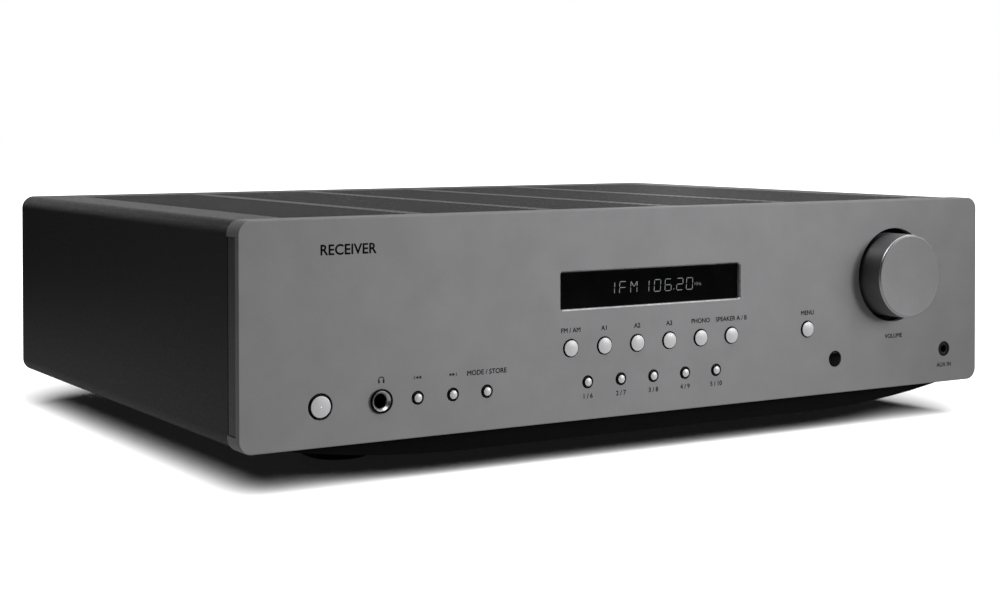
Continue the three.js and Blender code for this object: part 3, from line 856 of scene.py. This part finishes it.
def display_lens():
    """A dark lens in the window, with a flange behind the plate."""
    bm = bmesh.new()
    span = Span("display_window")
    width = DISPLAY_WIDTH - 2 * LENS_GAP
    height = DISPLAY_HEIGHT - 2 * LENS_GAP
    outer = rounded_rectangle(DISPLAY.x, DISPLAY.z, width, height, 0.8, 5)
    plate(bm, outer, [], LENS_DEPTH, PLATE_THICKNESS + 1, 0.15)
    flange = rounded_rectangle(DISPLAY.x, DISPLAY.z, span.size.x, span.size.z, 1, 4)
    plate(bm, flange, [], PLATE_THICKNESS + LENS_GAP, span.high.y, 0.1)
    make_piece("display_lens", bm, "smoked_lens", replaces=["display_window"])


SEGMENTS = {
    "a": [(0, 1), (1, 1)], "b": [(1, 1), (1, 0.5)], "c": [(1, 0.5), (1, 0)],
    "d": [(0, 0), (1, 0)], "e": [(0, 0.5), (0, 0)], "f": [(0, 1), (0, 0.5)],
    "g": [(0, 0.5), (1, 0.5)], "h": [(0, 1), (0.5, 0.5)], "i": [(0.5, 0.5), (1, 1)],
}
SHAPES = {
    "0": "abcdef", "1": "bc", "2": "abged", "6": "acdefg", "F": "aefg", "M": "bcefhi",
}
DIGIT_STARTS = [
    ("1", 28.0), ("F", 34.6), ("M", 41.1), ("1", 48.1), ("0", 55.0), ("6", 61.4), ("2", 68.4),
    ("0", 74.3),
]
CELL_WIDTH = 3.7
CELL_HEIGHT = 5.6
CELL_SLANT = 0.05
STROKE = 0.33
STROKE_GAP = 0.22
STROKE_THICKNESS = 0.04


def stroke(bm, start, end, level):
    """One lit segment: a flat bar with pointed ends."""
    along = (end - start).normalized()
    across = Vector((-along.y, along.x)) * STROKE / 2
    start = start + along * STROKE_GAP
    end = end - along * STROKE_GAP
    inner_start = start + along * STROKE / 2
    inner_end = end - along * STROKE / 2
    corners = [
        start, inner_start + across, inner_end + across,
        end, inner_end - across, inner_start - across,
    ]
    slab(bm, [(corner.x, corner.y) for corner in corners], level, level + STROKE_THICKNESS)


def display_digits():
    """The station's band and frequency, and a small unit mark."""
    bm = bmesh.new()
    level = LENS_DEPTH - 0.05
    left = DISPLAY.x - DISPLAY_WIDTH / 2 - 0.4
    low = DISPLAY.z - CELL_HEIGHT / 2 - 0.1
    for letter, start in DIGIT_STARTS:
        for segment in SHAPES[letter]:
            ends = []
            for across, up in SEGMENTS[segment]:
                lean = CELL_SLANT * CELL_HEIGHT * (up - 0.5)
                ends.append(Vector((
                    left + start + across * CELL_WIDTH + lean, low + up * CELL_HEIGHT,
                )))
            stroke(bm, *ends, level)
    point = Vector((left + 66.6, low))
    stroke(bm, point, point + Vector((0, 1.1)), level)
    write(bm, "MHz", left + 81.2, low + 2.5, 1.5, level, weight=0.03)
    make_piece("display_digits", bm, "lit_segments", slot="display_glass")


def headphone_jack():
    """A round nut, a polished funnel and the socket's dark throat."""
    span = Span("headphone_socket")
    face, back = span.low.y, span.high.y
    nut = [(4.55, face + 0.15)] + rounded_profile(5.35, face, 0.3, 4)
    nut += [(5.35, -0.02), (4.5, -0.02), (4.5, 6), (6.5, 6), (6.5, back), (0, back)]
    nut += [(0, back - 3), (3.2, back - 3), (3.2, 2), (4.55, 2), (4.55, face + 0.15)]
    turned_piece(
        "headphone_nut", HEADPHONE, nut, 72, "dull_black",
        slot="black_plastic", replaces=["headphone_socket"],
    )
    funnel = [(4.5, -0.55), (4.35, -0.6), (4.1, -0.45), (3.3, 0.5), (3.15, 1), (3.15, 1.9)]
    funnel += [(4.5, 1.9), (4.5, -0.55)]
    turned_piece("headphone_funnel", HEADPHONE, funnel, 72, "satin_nickel", slot="nickel")


def aux_jack():
    """A small socket with a stepped collar and a closed bore."""
    back = Span("aux_socket").high.y
    profile = [(1.8, 0.6), (2.1, 0.35), (2.5, 0.3), (2.7, 0.5), (3.2, 0.5)]
    profile += rounded_profile(3.6, 0.1, 0.25, 3)
    profile += [(3.6, 6), (4.5, 6), (4.5, back), (0, back), (0, 15), (1.8, 15), (1.8, 0.4)]
    turned_piece("aux_jack", AUX, profile, 56, "black_plastic", replaces=["aux_socket"])


def infrared_lens():
    """The remote control's domed dark window, with its flange behind the plate."""
    back = Span("infrared_window").high.y
    profile = [(0, 0.1), (1.6, 0.14), (2.9, 0.24), (3.6, 0.36), (3.8, 0.6)]
    profile += [(3.8, 3.3), (5.2, 3.3), (5.2, back), (0, back)]
    turned_piece(
        "infrared_lens", INFRARED, profile, 56, "smoked_lens", replaces=["infrared_window"],
    )


volume_knob()
for button_name, hole_radius in BUTTON_HOLES.items():
    push_button(button_name, hole_radius)
power_lamp()
display_lens()
display_digits()
headphone_jack()
aux_jack()
infrared_lens()


# ---------------- lettering on the front

CAPS = 2.2
TITLE = 4.45
ABOVE_LARGE = 8.4
ABOVE_SMALL = 9
BELOW_PRESET = 6.5


def triangle(bm, x, z, size, direction):
    """An arrowhead that points right where the direction is 1."""
    reach = direction * size / 2
    points = [(x - reach, z - size / 2), (x + reach, z), (x - reach, z + size / 2)]
    slab(bm, points, INK_FRONT, INK_BACK)


def headphone_mark(bm, x, z):
    """A headband over two ear pads."""
    turns = [math.pi * step / 14 for step in range(15)]
    outer = [(x + 1.5 * math.cos(t), z + 1.5 * math.sin(t)) for t in turns]
    inner = [(x + 1.05 * math.cos(t), z + 1.05 * math.sin(t)) for t in reversed(turns)]
    slab(bm, outer + inner, INK_FRONT, INK_BACK)
    for side in (-1, 1):
        pad = rounded_rectangle(x + side * 1.15, z - 0.7, 0.85, 1.5, 0.3, 3)
        plate(bm, pad, [], INK_FRONT, INK_BACK, 0.005)


def panel_lettering():
    """The name of the object, and what each control does."""
    bm = bmesh.new()
    write(bm, "RECEIVER", -177.5, 84.5, TITLE, align="LEFT", weight=0.13)
    for index, text in enumerate(["FM / AM", "A1", "A2", "A3", "PHONO", "SPEAKER A / B"]):
        centre = Span(f"source_button_{index + 1}").centre
        write(bm, text, centre.x, centre.z + ABOVE_LARGE, CAPS)
    menu = Span("menu_button").centre
    write(bm, "MENU", menu.x, menu.z + ABOVE_LARGE, CAPS)
    for index, text in enumerate(["1 / 6", "2 / 7", "3 / 8", "4 / 9", "5 / 10"]):
        centre = Span(f"preset_button_{index + 1}").centre
        write(bm, text, centre.x, centre.z - BELOW_PRESET, CAPS)
    mode = Span("mode_button").centre
    write(bm, "MODE / STORE", mode.x, mode.z + ABOVE_SMALL, CAPS)
    for name, direction in (("skip_back_button", -1), ("skip_forward_button", 1)):
        centre = Span(name).centre
        z = centre.z + ABOVE_SMALL
        for offset in (-0.75, 0.75):
            triangle(bm, centre.x + offset - 0.3 * direction, z, 1.5, direction)
        bar = rounded_rectangle(centre.x + direction * 1.75, z, 0.3, 1.6, 0.1, 2)
        plate(bm, bar, [], INK_FRONT, INK_BACK, 0.005)
    headphone_mark(bm, HEADPHONE.x, HEADPHONE.z + 9.3)
    write(bm, "VOLUME", KNOB.centre.x, KNOB.centre.z - 31.9, CAPS)
    write(bm, "AUX IN", AUX.x, AUX.z - 8.3, CAPS)
    make_piece("panel_lettering", bm, "black_ink", slot="black_plastic")


panel_lettering()


# ---------------- rear connections

REAR_FACE = Span("rear_panel").low.y + 1.5
AERIAL_FACE = REAR_FACE + 2.8
PHONO_FACE = REAR_FACE + 1.8
SPEAKER_FACE = REAR_FACE + 2.5
AERIAL_SOCKET = Vector((18, 0, 64))
MAINS_PINS_Z = 32
MAINS_PINS_REACH = (288, 300.2)
PHONO_PITCH = 19
ABOVE_PHONOS = 71
BELOW_PHONOS = 23
SPEAKER_CAPS = [f"speaker_cap_{row}{column}" for row in "ab" for column in range(1, 5)]


def speaker_cap(name):
    """A fluted screw cap with a hole in its end for a plug."""
    span = Span(name)
    root, tip = span.low.y, span.high.y
    radius = span.size.x / 2
    profile = [(3.6, root), (radius - 0.3, root), (radius, root + 0.3), (radius, tip - 2.2)]
    profile += [(radius - 0.35, tip - 1.2), (radius - 1.2, tip - 0.3), (radius - 1.9, tip)]
    profile += [(2.6, tip), (2.1, tip - 0.5), (2.1, tip - 4), (3.6, tip - 4), (3.6, root)]
    turned_piece(
        name + "_grip", span.centre, profile, 112, SLOT_OF[name],
        ripple=(14, 0.55, radius - 0.4), body=BODY_OF[name], replaces=[name], smooth_angle=50,
    )


def speaker_washers():
    """Metal washers under the caps."""
    bm = bmesh.new()
    low, high = SPEAKER_FACE + 1.65, SPEAKER_FACE + 1.85
    profile = [(3.1, low), (6.6, low), (6.9, low + 0.1), (6.9, high), (3.1, high), (3.1, low)]
    for name in SPEAKER_CAPS:
        centre = Span(name).centre
        lathe(bm, centre.x, centre.z, profile, 40)
    make_piece("speaker_washers", bm, "nickel")


def phono_centres():
    """Each phono socket's place, and whether it is in the upper row."""
    places = []
    for name in ("phono_block_inputs", "phono_block_outputs"):
        span = Span(name)
        columns = round(span.size.x / PHONO_PITCH)
        for column in range(columns):
            x = span.centre.x + (column - (columns - 1) / 2) * PHONO_PITCH
            for row in (-0.5, 0.5):
                places.append((x, span.centre.z + row * PHONO_PITCH, row > 0))
    return places


def phono_sockets():
    """Nickel barrels round white (upper) and red (lower) insulators."""
    face = PHONO_FACE
    barrel = [(4.2, face - 0.2), (6.0, face - 0.2), (6.0, face + 0.5), (4.3, face + 0.6)]
    barrel += [(4.3, face + 8.2), (4.1, face + 8.5), (3.5, face + 8.5), (3.5, face + 8.0)]
    barrel += [(4.2, face + 7.5), (4.2, face - 0.2)]
    insulator = [(1.75, face + 8.2), (3.5, face + 8.52), (4.18, face + 8.35), (4.18, face + 7.6)]
    insulator += [(1.75, face + 7.6), (1.75, face + 8.2)]
    barrels = bmesh.new()
    insulators = {True: bmesh.new(), False: bmesh.new()}
    for x, z, is_upper in phono_centres():
        lathe(barrels, x, z, barrel, 40)
        lathe(insulators[is_upper], x, z, insulator, 32)
    make_piece("phono_barrels", barrels, "nickel")
    make_piece("phono_insulators_upper", insulators[True], "white_plastic", slot="nickel")
    make_piece("phono_insulators_lower", insulators[False], "terminal_red")


def aerial_thread():
    """The screw thread on the aerial socket, with its round root."""
    face = AERIAL_FACE
    profile = [(4.72, face - 0.2), (6.4, face - 0.2), (6.4, face + 1.4), (5.0, face + 1.5)]
    for turn in range(10):
        level = face + 1.8 + 0.8 * turn
        profile += [(4.75, level), (5.05, level + 0.4)]
    profile += [(4.7, face + 9.9), (2.4, face + 9.95), (2.4, face + 9.3), (4.6, face + 9.2)]
    profile.append((4.72, face - 0.2))
    turned_piece("aerial_thread", AERIAL_SOCKET, profile, 48, "nickel")


def earth_terminal():
    """A knurled thumb nut."""
    span = Span("earth_nut")
    root, tip = span.low.y, span.high.y
    profile = [(2.4, root), (4.8, root), (5.5, root + 0.6), (5.5, tip - 0.6), (5.0, tip - 0.1)]
    profile += [(3.2, tip), (2.4, tip - 0.3), (2.4, root)]
    turned_piece(
        "earth_thumb_nut", span.centre, profile, 120, "nickel",
        ripple=(30, 0.35, 5.4), body="earth_nut", replaces=["earth_nut"],
    )


def mains_blades():
    """Bright blades over the inlet's three pins."""
    bm = bmesh.new()
    centre = Span("mains_inlet").centre.x
    for across, up in ((0, 2.4), (-7, -2.2), (7, -2.2)):
        x = centre + across
        z = MAINS_PINS_Z + up
        box(bm, (x - 1.1, x + 1.1), MAINS_PINS_REACH, (z - 2.1, z + 2.1))
    make_piece("mains_blades", bm, "nickel")


ROCKER_HALF_HEIGHT = 9.8
ROCKER_RISE = 2.8
ROCKER_MARK_LEVEL = 6.62


def rocker_marks():
    """The on and off marks on the two halves of the power rocker, which rests half a tip back."""
    joint = JOINTS["power_rocker_tip"]
    rest = math.radians(joint["range_deg"][1] / 2)
    pivot = Matrix.Translation(ROW_TO_PANEL @ Vector(joint["pos_m"])) @ Matrix.Rotation(rest, 4, "X")
    slope = math.atan2(ROCKER_RISE, ROCKER_HALF_HEIGHT)
    bar = bmesh.new()
    plate(bar, rounded_rectangle(0, 0, 0.7, 3.2, 0.2, 2), [], -0.03, 0.05, 0.01)
    hoop = bmesh.new()
    plate(hoop, circle(0, 0, 1.8, 32), [circle(0, 0, 1.25, 32)], -0.03, 0.05, 0.01)
    bm = bmesh.new()
    for side, mark in ((1, bar), (-1, hoop)):
        middle = Matrix.Translation((0, ROCKER_MARK_LEVEL, side * ROCKER_HALF_HEIGHT / 2))
        tilt = Matrix.Rotation(-side * slope, 4, "X")
        mark.transform(pivot @ middle @ tilt @ Matrix.Rotation(math.pi, 4, "Z"))
        bm.from_mesh(mesh_of(mark, "mark"))
    make_piece("rocker_marks", bm, "white_ink", body="power_rocker", slot="black_plastic")


def screw(bm, x, y, z, place, outward):
    """A domed screw head with a round recess."""
    head = [(0, y + outward * 0.35), (1.1, y + outward * 0.35), (1.1, y + outward * 1.25)]
    head += [(1.6, y + outward * 1.2), (2.5, y + outward * 0.75), (2.9, y + outward * 0.1)]
    lathe(bm, x, z, head + [(2.9, y - outward * 0.1), (0, y - outward * 0.1)], 24, place)


def rear_screws():
    """Screws down both sides and along the top and bottom of the rear panel."""
    bm = bmesh.new()
    places = [(side * 206.5, z) for side in (-1, 1) for z in (12, 86)]
    places += [(x, 90.5) for x in (-140, -60, 20, 100, 180)]
    places += [(x, 8) for x in (-150, 0, 150)]
    for x, z in places:
        screw(bm, x, REAR_FACE, z, on_front, 1)
    make_piece("rear_screws", bm, "zinc_steel")


def rear_lettering():
    """What each connection is for."""
    bm = bmesh.new()

    def legend(text, x, z, height=2.4, face=REAR_FACE):
        write(bm, text, x, z, height, face - INK_LEVEL, facing=-1)

    for index, text in enumerate(["A3", "A2", "A1", "PHONO"]):
        legend(text, 137 + PHONO_PITCH * index, ABOVE_PHONOS)
    legend("INPUTS", 165.5, BELOW_PHONOS)
    for index, text in enumerate(["REC OUT", "SUB OUT"]):
        legend(text, 84.5 + PHONO_PITCH * index, ABOVE_PHONOS, 2.1)
    legend("OUTPUTS", 94, BELOW_PHONOS)
    for text, z in (("L", 56.5), ("R", 37.5)):
        legend(text, 123, z)
        legend(text, 70.5, z)
    legend("EARTH", 194, 70.5, 2.1)
    legend("AERIAL", 34, 39)
    block = Span("speaker_block").centre
    legend("SPEAKERS", block.x, 81.5, 2.8)
    legend("POWER", -180, 89)
    for text, up in (("A", 14), ("B", -14)):
        legend(text, block.x, block.z + up, 4, SPEAKER_FACE)
    for text, across in (("R", -30), ("L", 30), ("-", -42), ("+", -18), ("+", 18), ("-", 42)):
        legend(text, block.x + across, block.z, 3, SPEAKER_FACE)
    legend("FM 75", AERIAL_SOCKET.x, 74.5, 1.9, AERIAL_FACE)
    legend("AM LOOP", 45.5, 50, 1.9, AERIAL_FACE)
    make_piece("rear_lettering", bm, "white_ink", slot="black_plastic")


for cap_name in SPEAKER_CAPS:
    speaker_cap(cap_name)
speaker_washers()
phono_sockets()
aerial_thread()
earth_terminal()
mains_blades()
rocker_marks()
rear_screws()
rear_lettering()


# ---------------- feet and underside

FEET = ["foot_front_left", "foot_front_right", "foot_rear_left", "foot_rear_right"]
UNDERSIDE = COVER.low.z
INNER_SCREWS = [
    (-180, 162), (-100, 162), (60, 70), (60, 120), (10, 162), (90, 162), (170, 162), (0, 290),
]


def foot(name):
    """A round foot: a ribbed plastic cup, and a soft pad that meets the floor."""
    span = Span(name)
    radius = span.size.x / 2
    low, high = span.low.z, span.high.z
    cup = [(0, low + 3), (radius - 3.2, low + 3), (radius - 3.2, low + 1.4)]
    cup += [(radius - 2.4, low + 0.9), (radius - 1.6, low + 1.4)]
    for rib in range(4):
        level = low + 3.2 + 3.6 * rib
        groove = radius - 1.2 + 0.2 * rib
        crest = groove + 0.6
        cup += [(groove, level), (crest, level + 1), (crest, level + 2), (groove, level + 3)]
    cup += [(radius - 0.2, high - 1.2), (radius, high - 0.8), (radius, high), (0, high)]
    turned_piece(
        name + "_cup", span.centre, cup, 72, "black_plastic",
        place=on_top, slot="rubber", replaces=[name],
    )
    pad = [(0, low + 1.2), (5, low + 1.2), (6, low + 0.3), (7, low), (radius - 4.6, low)]
    pad += [(radius - 3.8, low + 0.3), (radius - 3.4, low + 1.4), (radius - 3.4, low + 3.1)]
    pad.append((0, low + 3.1))
    turned_piece(name + "_pad", span.centre, pad, 64, "rubber", place=on_top)


def underside_screws():
    """Screws along both sides, and those that hold the inner parts."""
    bm = bmesh.new()
    sides = [(side * 200, y) for side in (-1, 1) for y in (30, 110, 200, 290)]
    for x, y in sides + INNER_SCREWS:
        screw(bm, x, UNDERSIDE, y, on_top, -1)
    make_piece("underside_screws", bm, "zinc_steel")


for foot_name in FEET:
    foot(foot_name)
underside_screws()


# ---------------- CAD nodes kept as they are

BEVELS_MM = {
    "front_subframe": 0.25, "base_tray": 0.3, "rear_panel": 0.2, "front_plinth": 0.8,
    "knob_recess": 0.2, "mains_inlet": 0.4, "power_rocker": 0.5, "aerial_block": 0.3,
    "aerial_lever_left": 0.4, "aerial_lever_right": 0.4, "phono_block_inputs": 0.25,
    "phono_block_outputs": 0.25, "speaker_block": 0.4, "heatsink": 0.2, "tuner_module": 0.3,
    "power_transistors": 0.2, "amplifier_board": 0.15, "control_board": 0.15,
    "display_tube": 0.3, "volume_encoder": 0.3, "volume_shaft": 0.2,
}
OWN_LOOKS = {
    "front_plinth": "dull_black", "knob_recess": "dull_black", "front_subframe": "grey_plastic",
}


def refine(node, width_mm):
    """Gives a kept CAD node rounded edges, even shading and its material."""
    holder = frame["nodes"][node]
    weld = holder.modifiers.new("weld", "WELD")
    weld.merge_threshold = 0.01 * MM
    if width_mm:
        bevel = holder.modifiers.new("round_edges", "BEVEL")
        bevel.width = width_mm * MM
        bevel.segments = 2
        bevel.limit_method = "ANGLE"
        bevel.angle_limit = math.radians(40)
        bevel.harden_normals = True
    holder.modifiers.new("even_normals", "WEIGHTED_NORMAL")
    look = OWN_LOOKS.get(node, SLOT_OF[node])
    holder.data.materials.clear()
    holder.data.materials.append(LOOKS[look])


for node_name in frame["nodes"]:
    if not frame["nodes"][node_name].hide_render:
        refine(node_name, BEVELS_MM.get(node_name, 0))


# ---------------- floor, light and camera

# Lengths here are in metres, except CAMERA_PLACE, in panel mm, and the lens and sensor.
FLOOR_REACH = 12
FLOOR_GAP = 0.0002
FLOOR_SHADE = (0.9, 0.9, 0.9, 1)
FLOOR_GLOW = 0.008
BOUNCE_SHADE = 0.165
BOUNCE_FULL_TO = 0.3
BOUNCE_NONE_FROM = 0.95
LAMP_AIM = (0, 0, 0.06)
SKY_PLACE = (-0.22, -0.62, 0.75)
SKY_POWER = 8.2
SKY_SPREAD_DEGREES = 58
SOFTBOXES = [
    # name, place, width and height, power in watts
    ("front_right", (1.2, -1.3, 0.55), (1.1, 0.7), 12.9),
    ("front_near", (0.42, -0.62, 0.16), (0.1, 0.1), 0.385),
    ("upper_left", (-0.31, -0.35, 0.88), (0.5, 0.3), 2.4),
    ("overhead", (0.5, 0, 1.25), (1.2, 1.5), 7.5),
    ("behind", (0.4, 2.0, 0.6), (2.4, 0.8), 5.2),
    ("behind_right", (1.6, 1.4, 0.6), (0.8, 0.8), 2.1),
    ("left_back", (-1.8, 1.2, 0.15), (1.0, 0.3), 1.4),
]
BEAMS = {"front_near": {"aim": (-0.18, -0.1575, 0.07), "spread": 60, "mirrored": False}}


def floor_paper():
    """Pale paper that throws light back only near the receiver."""
    look = Finish("floor_paper", specular=0.0)
    distance = look.add("ShaderNodeVectorMath", settings={"operation": "LENGTH"}, Vector=look.place)
    bounce = look.spread(
        distance.outputs["Value"], BOUNCE_SHADE, 0, BOUNCE_FULL_TO, BOUNCE_NONE_FROM,
    )
    seen = look.add("ShaderNodeLightPath").outputs["Is Camera Ray"]
    look.colour = look.blend(seen, bounce, FLOOR_SHADE)
    look.shade(Roughness=0.9, Emission_Color=FLOOR_SHADE, Emission_Strength=FLOOR_GLOW)
    look.done()


def plain_floor():
    """A wide floor just under the feet."""
    mesh = bpy.data.meshes.new("floor")
    corners = [(-1, -1), (1, -1), (1, 1), (-1, 1)]
    mesh.from_pydata([(FLOOR_REACH * x, FLOOR_REACH * y, 0) for x, y in corners], [], [(0, 1, 2, 3)])
    floor_paper()
    mesh.materials.append(LOOKS["floor_paper"])
    floor = new_object("floor", mesh)
    floor.location.z = cad_box[0].z - FLOOR_GAP
    return floor


def lamp(data, name, place, aim, floor, link_state):
    """Sets a lamp facing aim, with the floor alone (INCLUDE) or all but the floor (EXCLUDE) lit."""
    holder = new_object(name, data)
    holder.location = place
    direction = Vector(aim) - Vector(place)
    holder.rotation_euler = direction.to_track_quat("-Z", "Y").to_euler()
    holder.visible_camera = False
    chosen = bpy.data.collections.new(name + "_floor")
    chosen.objects.link(floor)
    holder.light_linking.receiver_collection = chosen
    chosen.collection_objects[0].light_linking.link_state = link_state
    return holder


def floor_light(floor):
    """A broad overcast sky from above and in front, lighting the floor alone."""
    data = bpy.data.lights.new("floor_light", "SUN")
    data.energy = SKY_POWER
    data.angle = math.radians(SKY_SPREAD_DEGREES)
    lamp(data, "floor_light", SKY_PLACE, (0, 0, 0), floor, "INCLUDE")


def softbox(name, place, size, power, floor, aim=LAMP_AIM, spread=180, mirrored=True):
    """A soft rectangular lamp, kept off the floor; spread is its beam's angle in degrees."""
    data = bpy.data.lights.new(name, "AREA")
    data.shape = "RECTANGLE"
    data.size, data.size_y = size
    data.energy = power
    data.spread = math.radians(spread)
    holder = lamp(data, name, place, aim, floor, "EXCLUDE")
    holder.visible_glossy = mirrored


def surroundings():
    """White behind the receiver for the camera, and a dark room for its reflections."""
    world = bpy.data.worlds.new("studio")
    world.use_nodes = True
    nodes, links = world.node_tree.nodes, world.node_tree.links
    background = nodes["Background"]
    path = nodes.new("ShaderNodeLightPath")
    mix = nodes.new("ShaderNodeMix")
    mix.data_type = "RGBA"
    mix.inputs[6].default_value = (0.003, 0.003, 0.003, 1)
    mix.inputs[7].default_value = (1, 1, 1, 1)
    links.new(path.outputs["Is Camera Ray"], mix.inputs[0])
    links.new(mix.outputs[2], background.inputs["Color"])
    bpy.context.scene.world = world
    bpy.context.scene.view_settings.view_transform = "Standard"


CAMERA_PLACE = (-508.42, -684.0, 138.5)
CAMERA_AZIMUTH = math.radians(-31.65)
CAMERA_ELEVATION = math.radians(1.062)
CAMERA_ROLL = math.radians(-0.056)
LENS = 64.04
SENSOR = 36
SHIFT_X = -0.0011
SHIFT_Y = -0.144


def camera():
    """The photograph's viewpoint: left of the panel's centre, almost level."""
    back = Vector((
        math.sin(CAMERA_AZIMUTH) * math.cos(CAMERA_ELEVATION),
        -math.cos(CAMERA_AZIMUTH) * math.cos(CAMERA_ELEVATION),
        math.sin(CAMERA_ELEVATION),
    ))
    right = Vector((math.cos(CAMERA_AZIMUTH), math.sin(CAMERA_AZIMUTH), 0))
    up = back.cross(right)
    turn = Matrix((right, up, back)).transposed().to_4x4() @ Matrix.Rotation(CAMERA_ROLL, 4, "Z")
    data = bpy.data.cameras.new("camera")
    data.lens = LENS
    data.sensor_width = SENSOR
    data.shift_x = SHIFT_X
    data.shift_y = SHIFT_Y
    data.clip_start = 0.05
    data.clip_end = 100
    holder = new_object("camera", data)
    holder.matrix_world = Matrix.Translation(PANEL_TO_ROW @ Vector(CAMERA_PLACE)) @ turn
    bpy.context.scene.camera = holder


def studio(floor):
    """The floor's own light, and the softboxes round the receiver, one with a narrow beam."""
    floor_light(floor)
    for name, place, size, power in SOFTBOXES:
        softbox(name, place, size, power, floor, **BEAMS.get(name, {}))


studio(plain_floor())
surroundings()
camera()
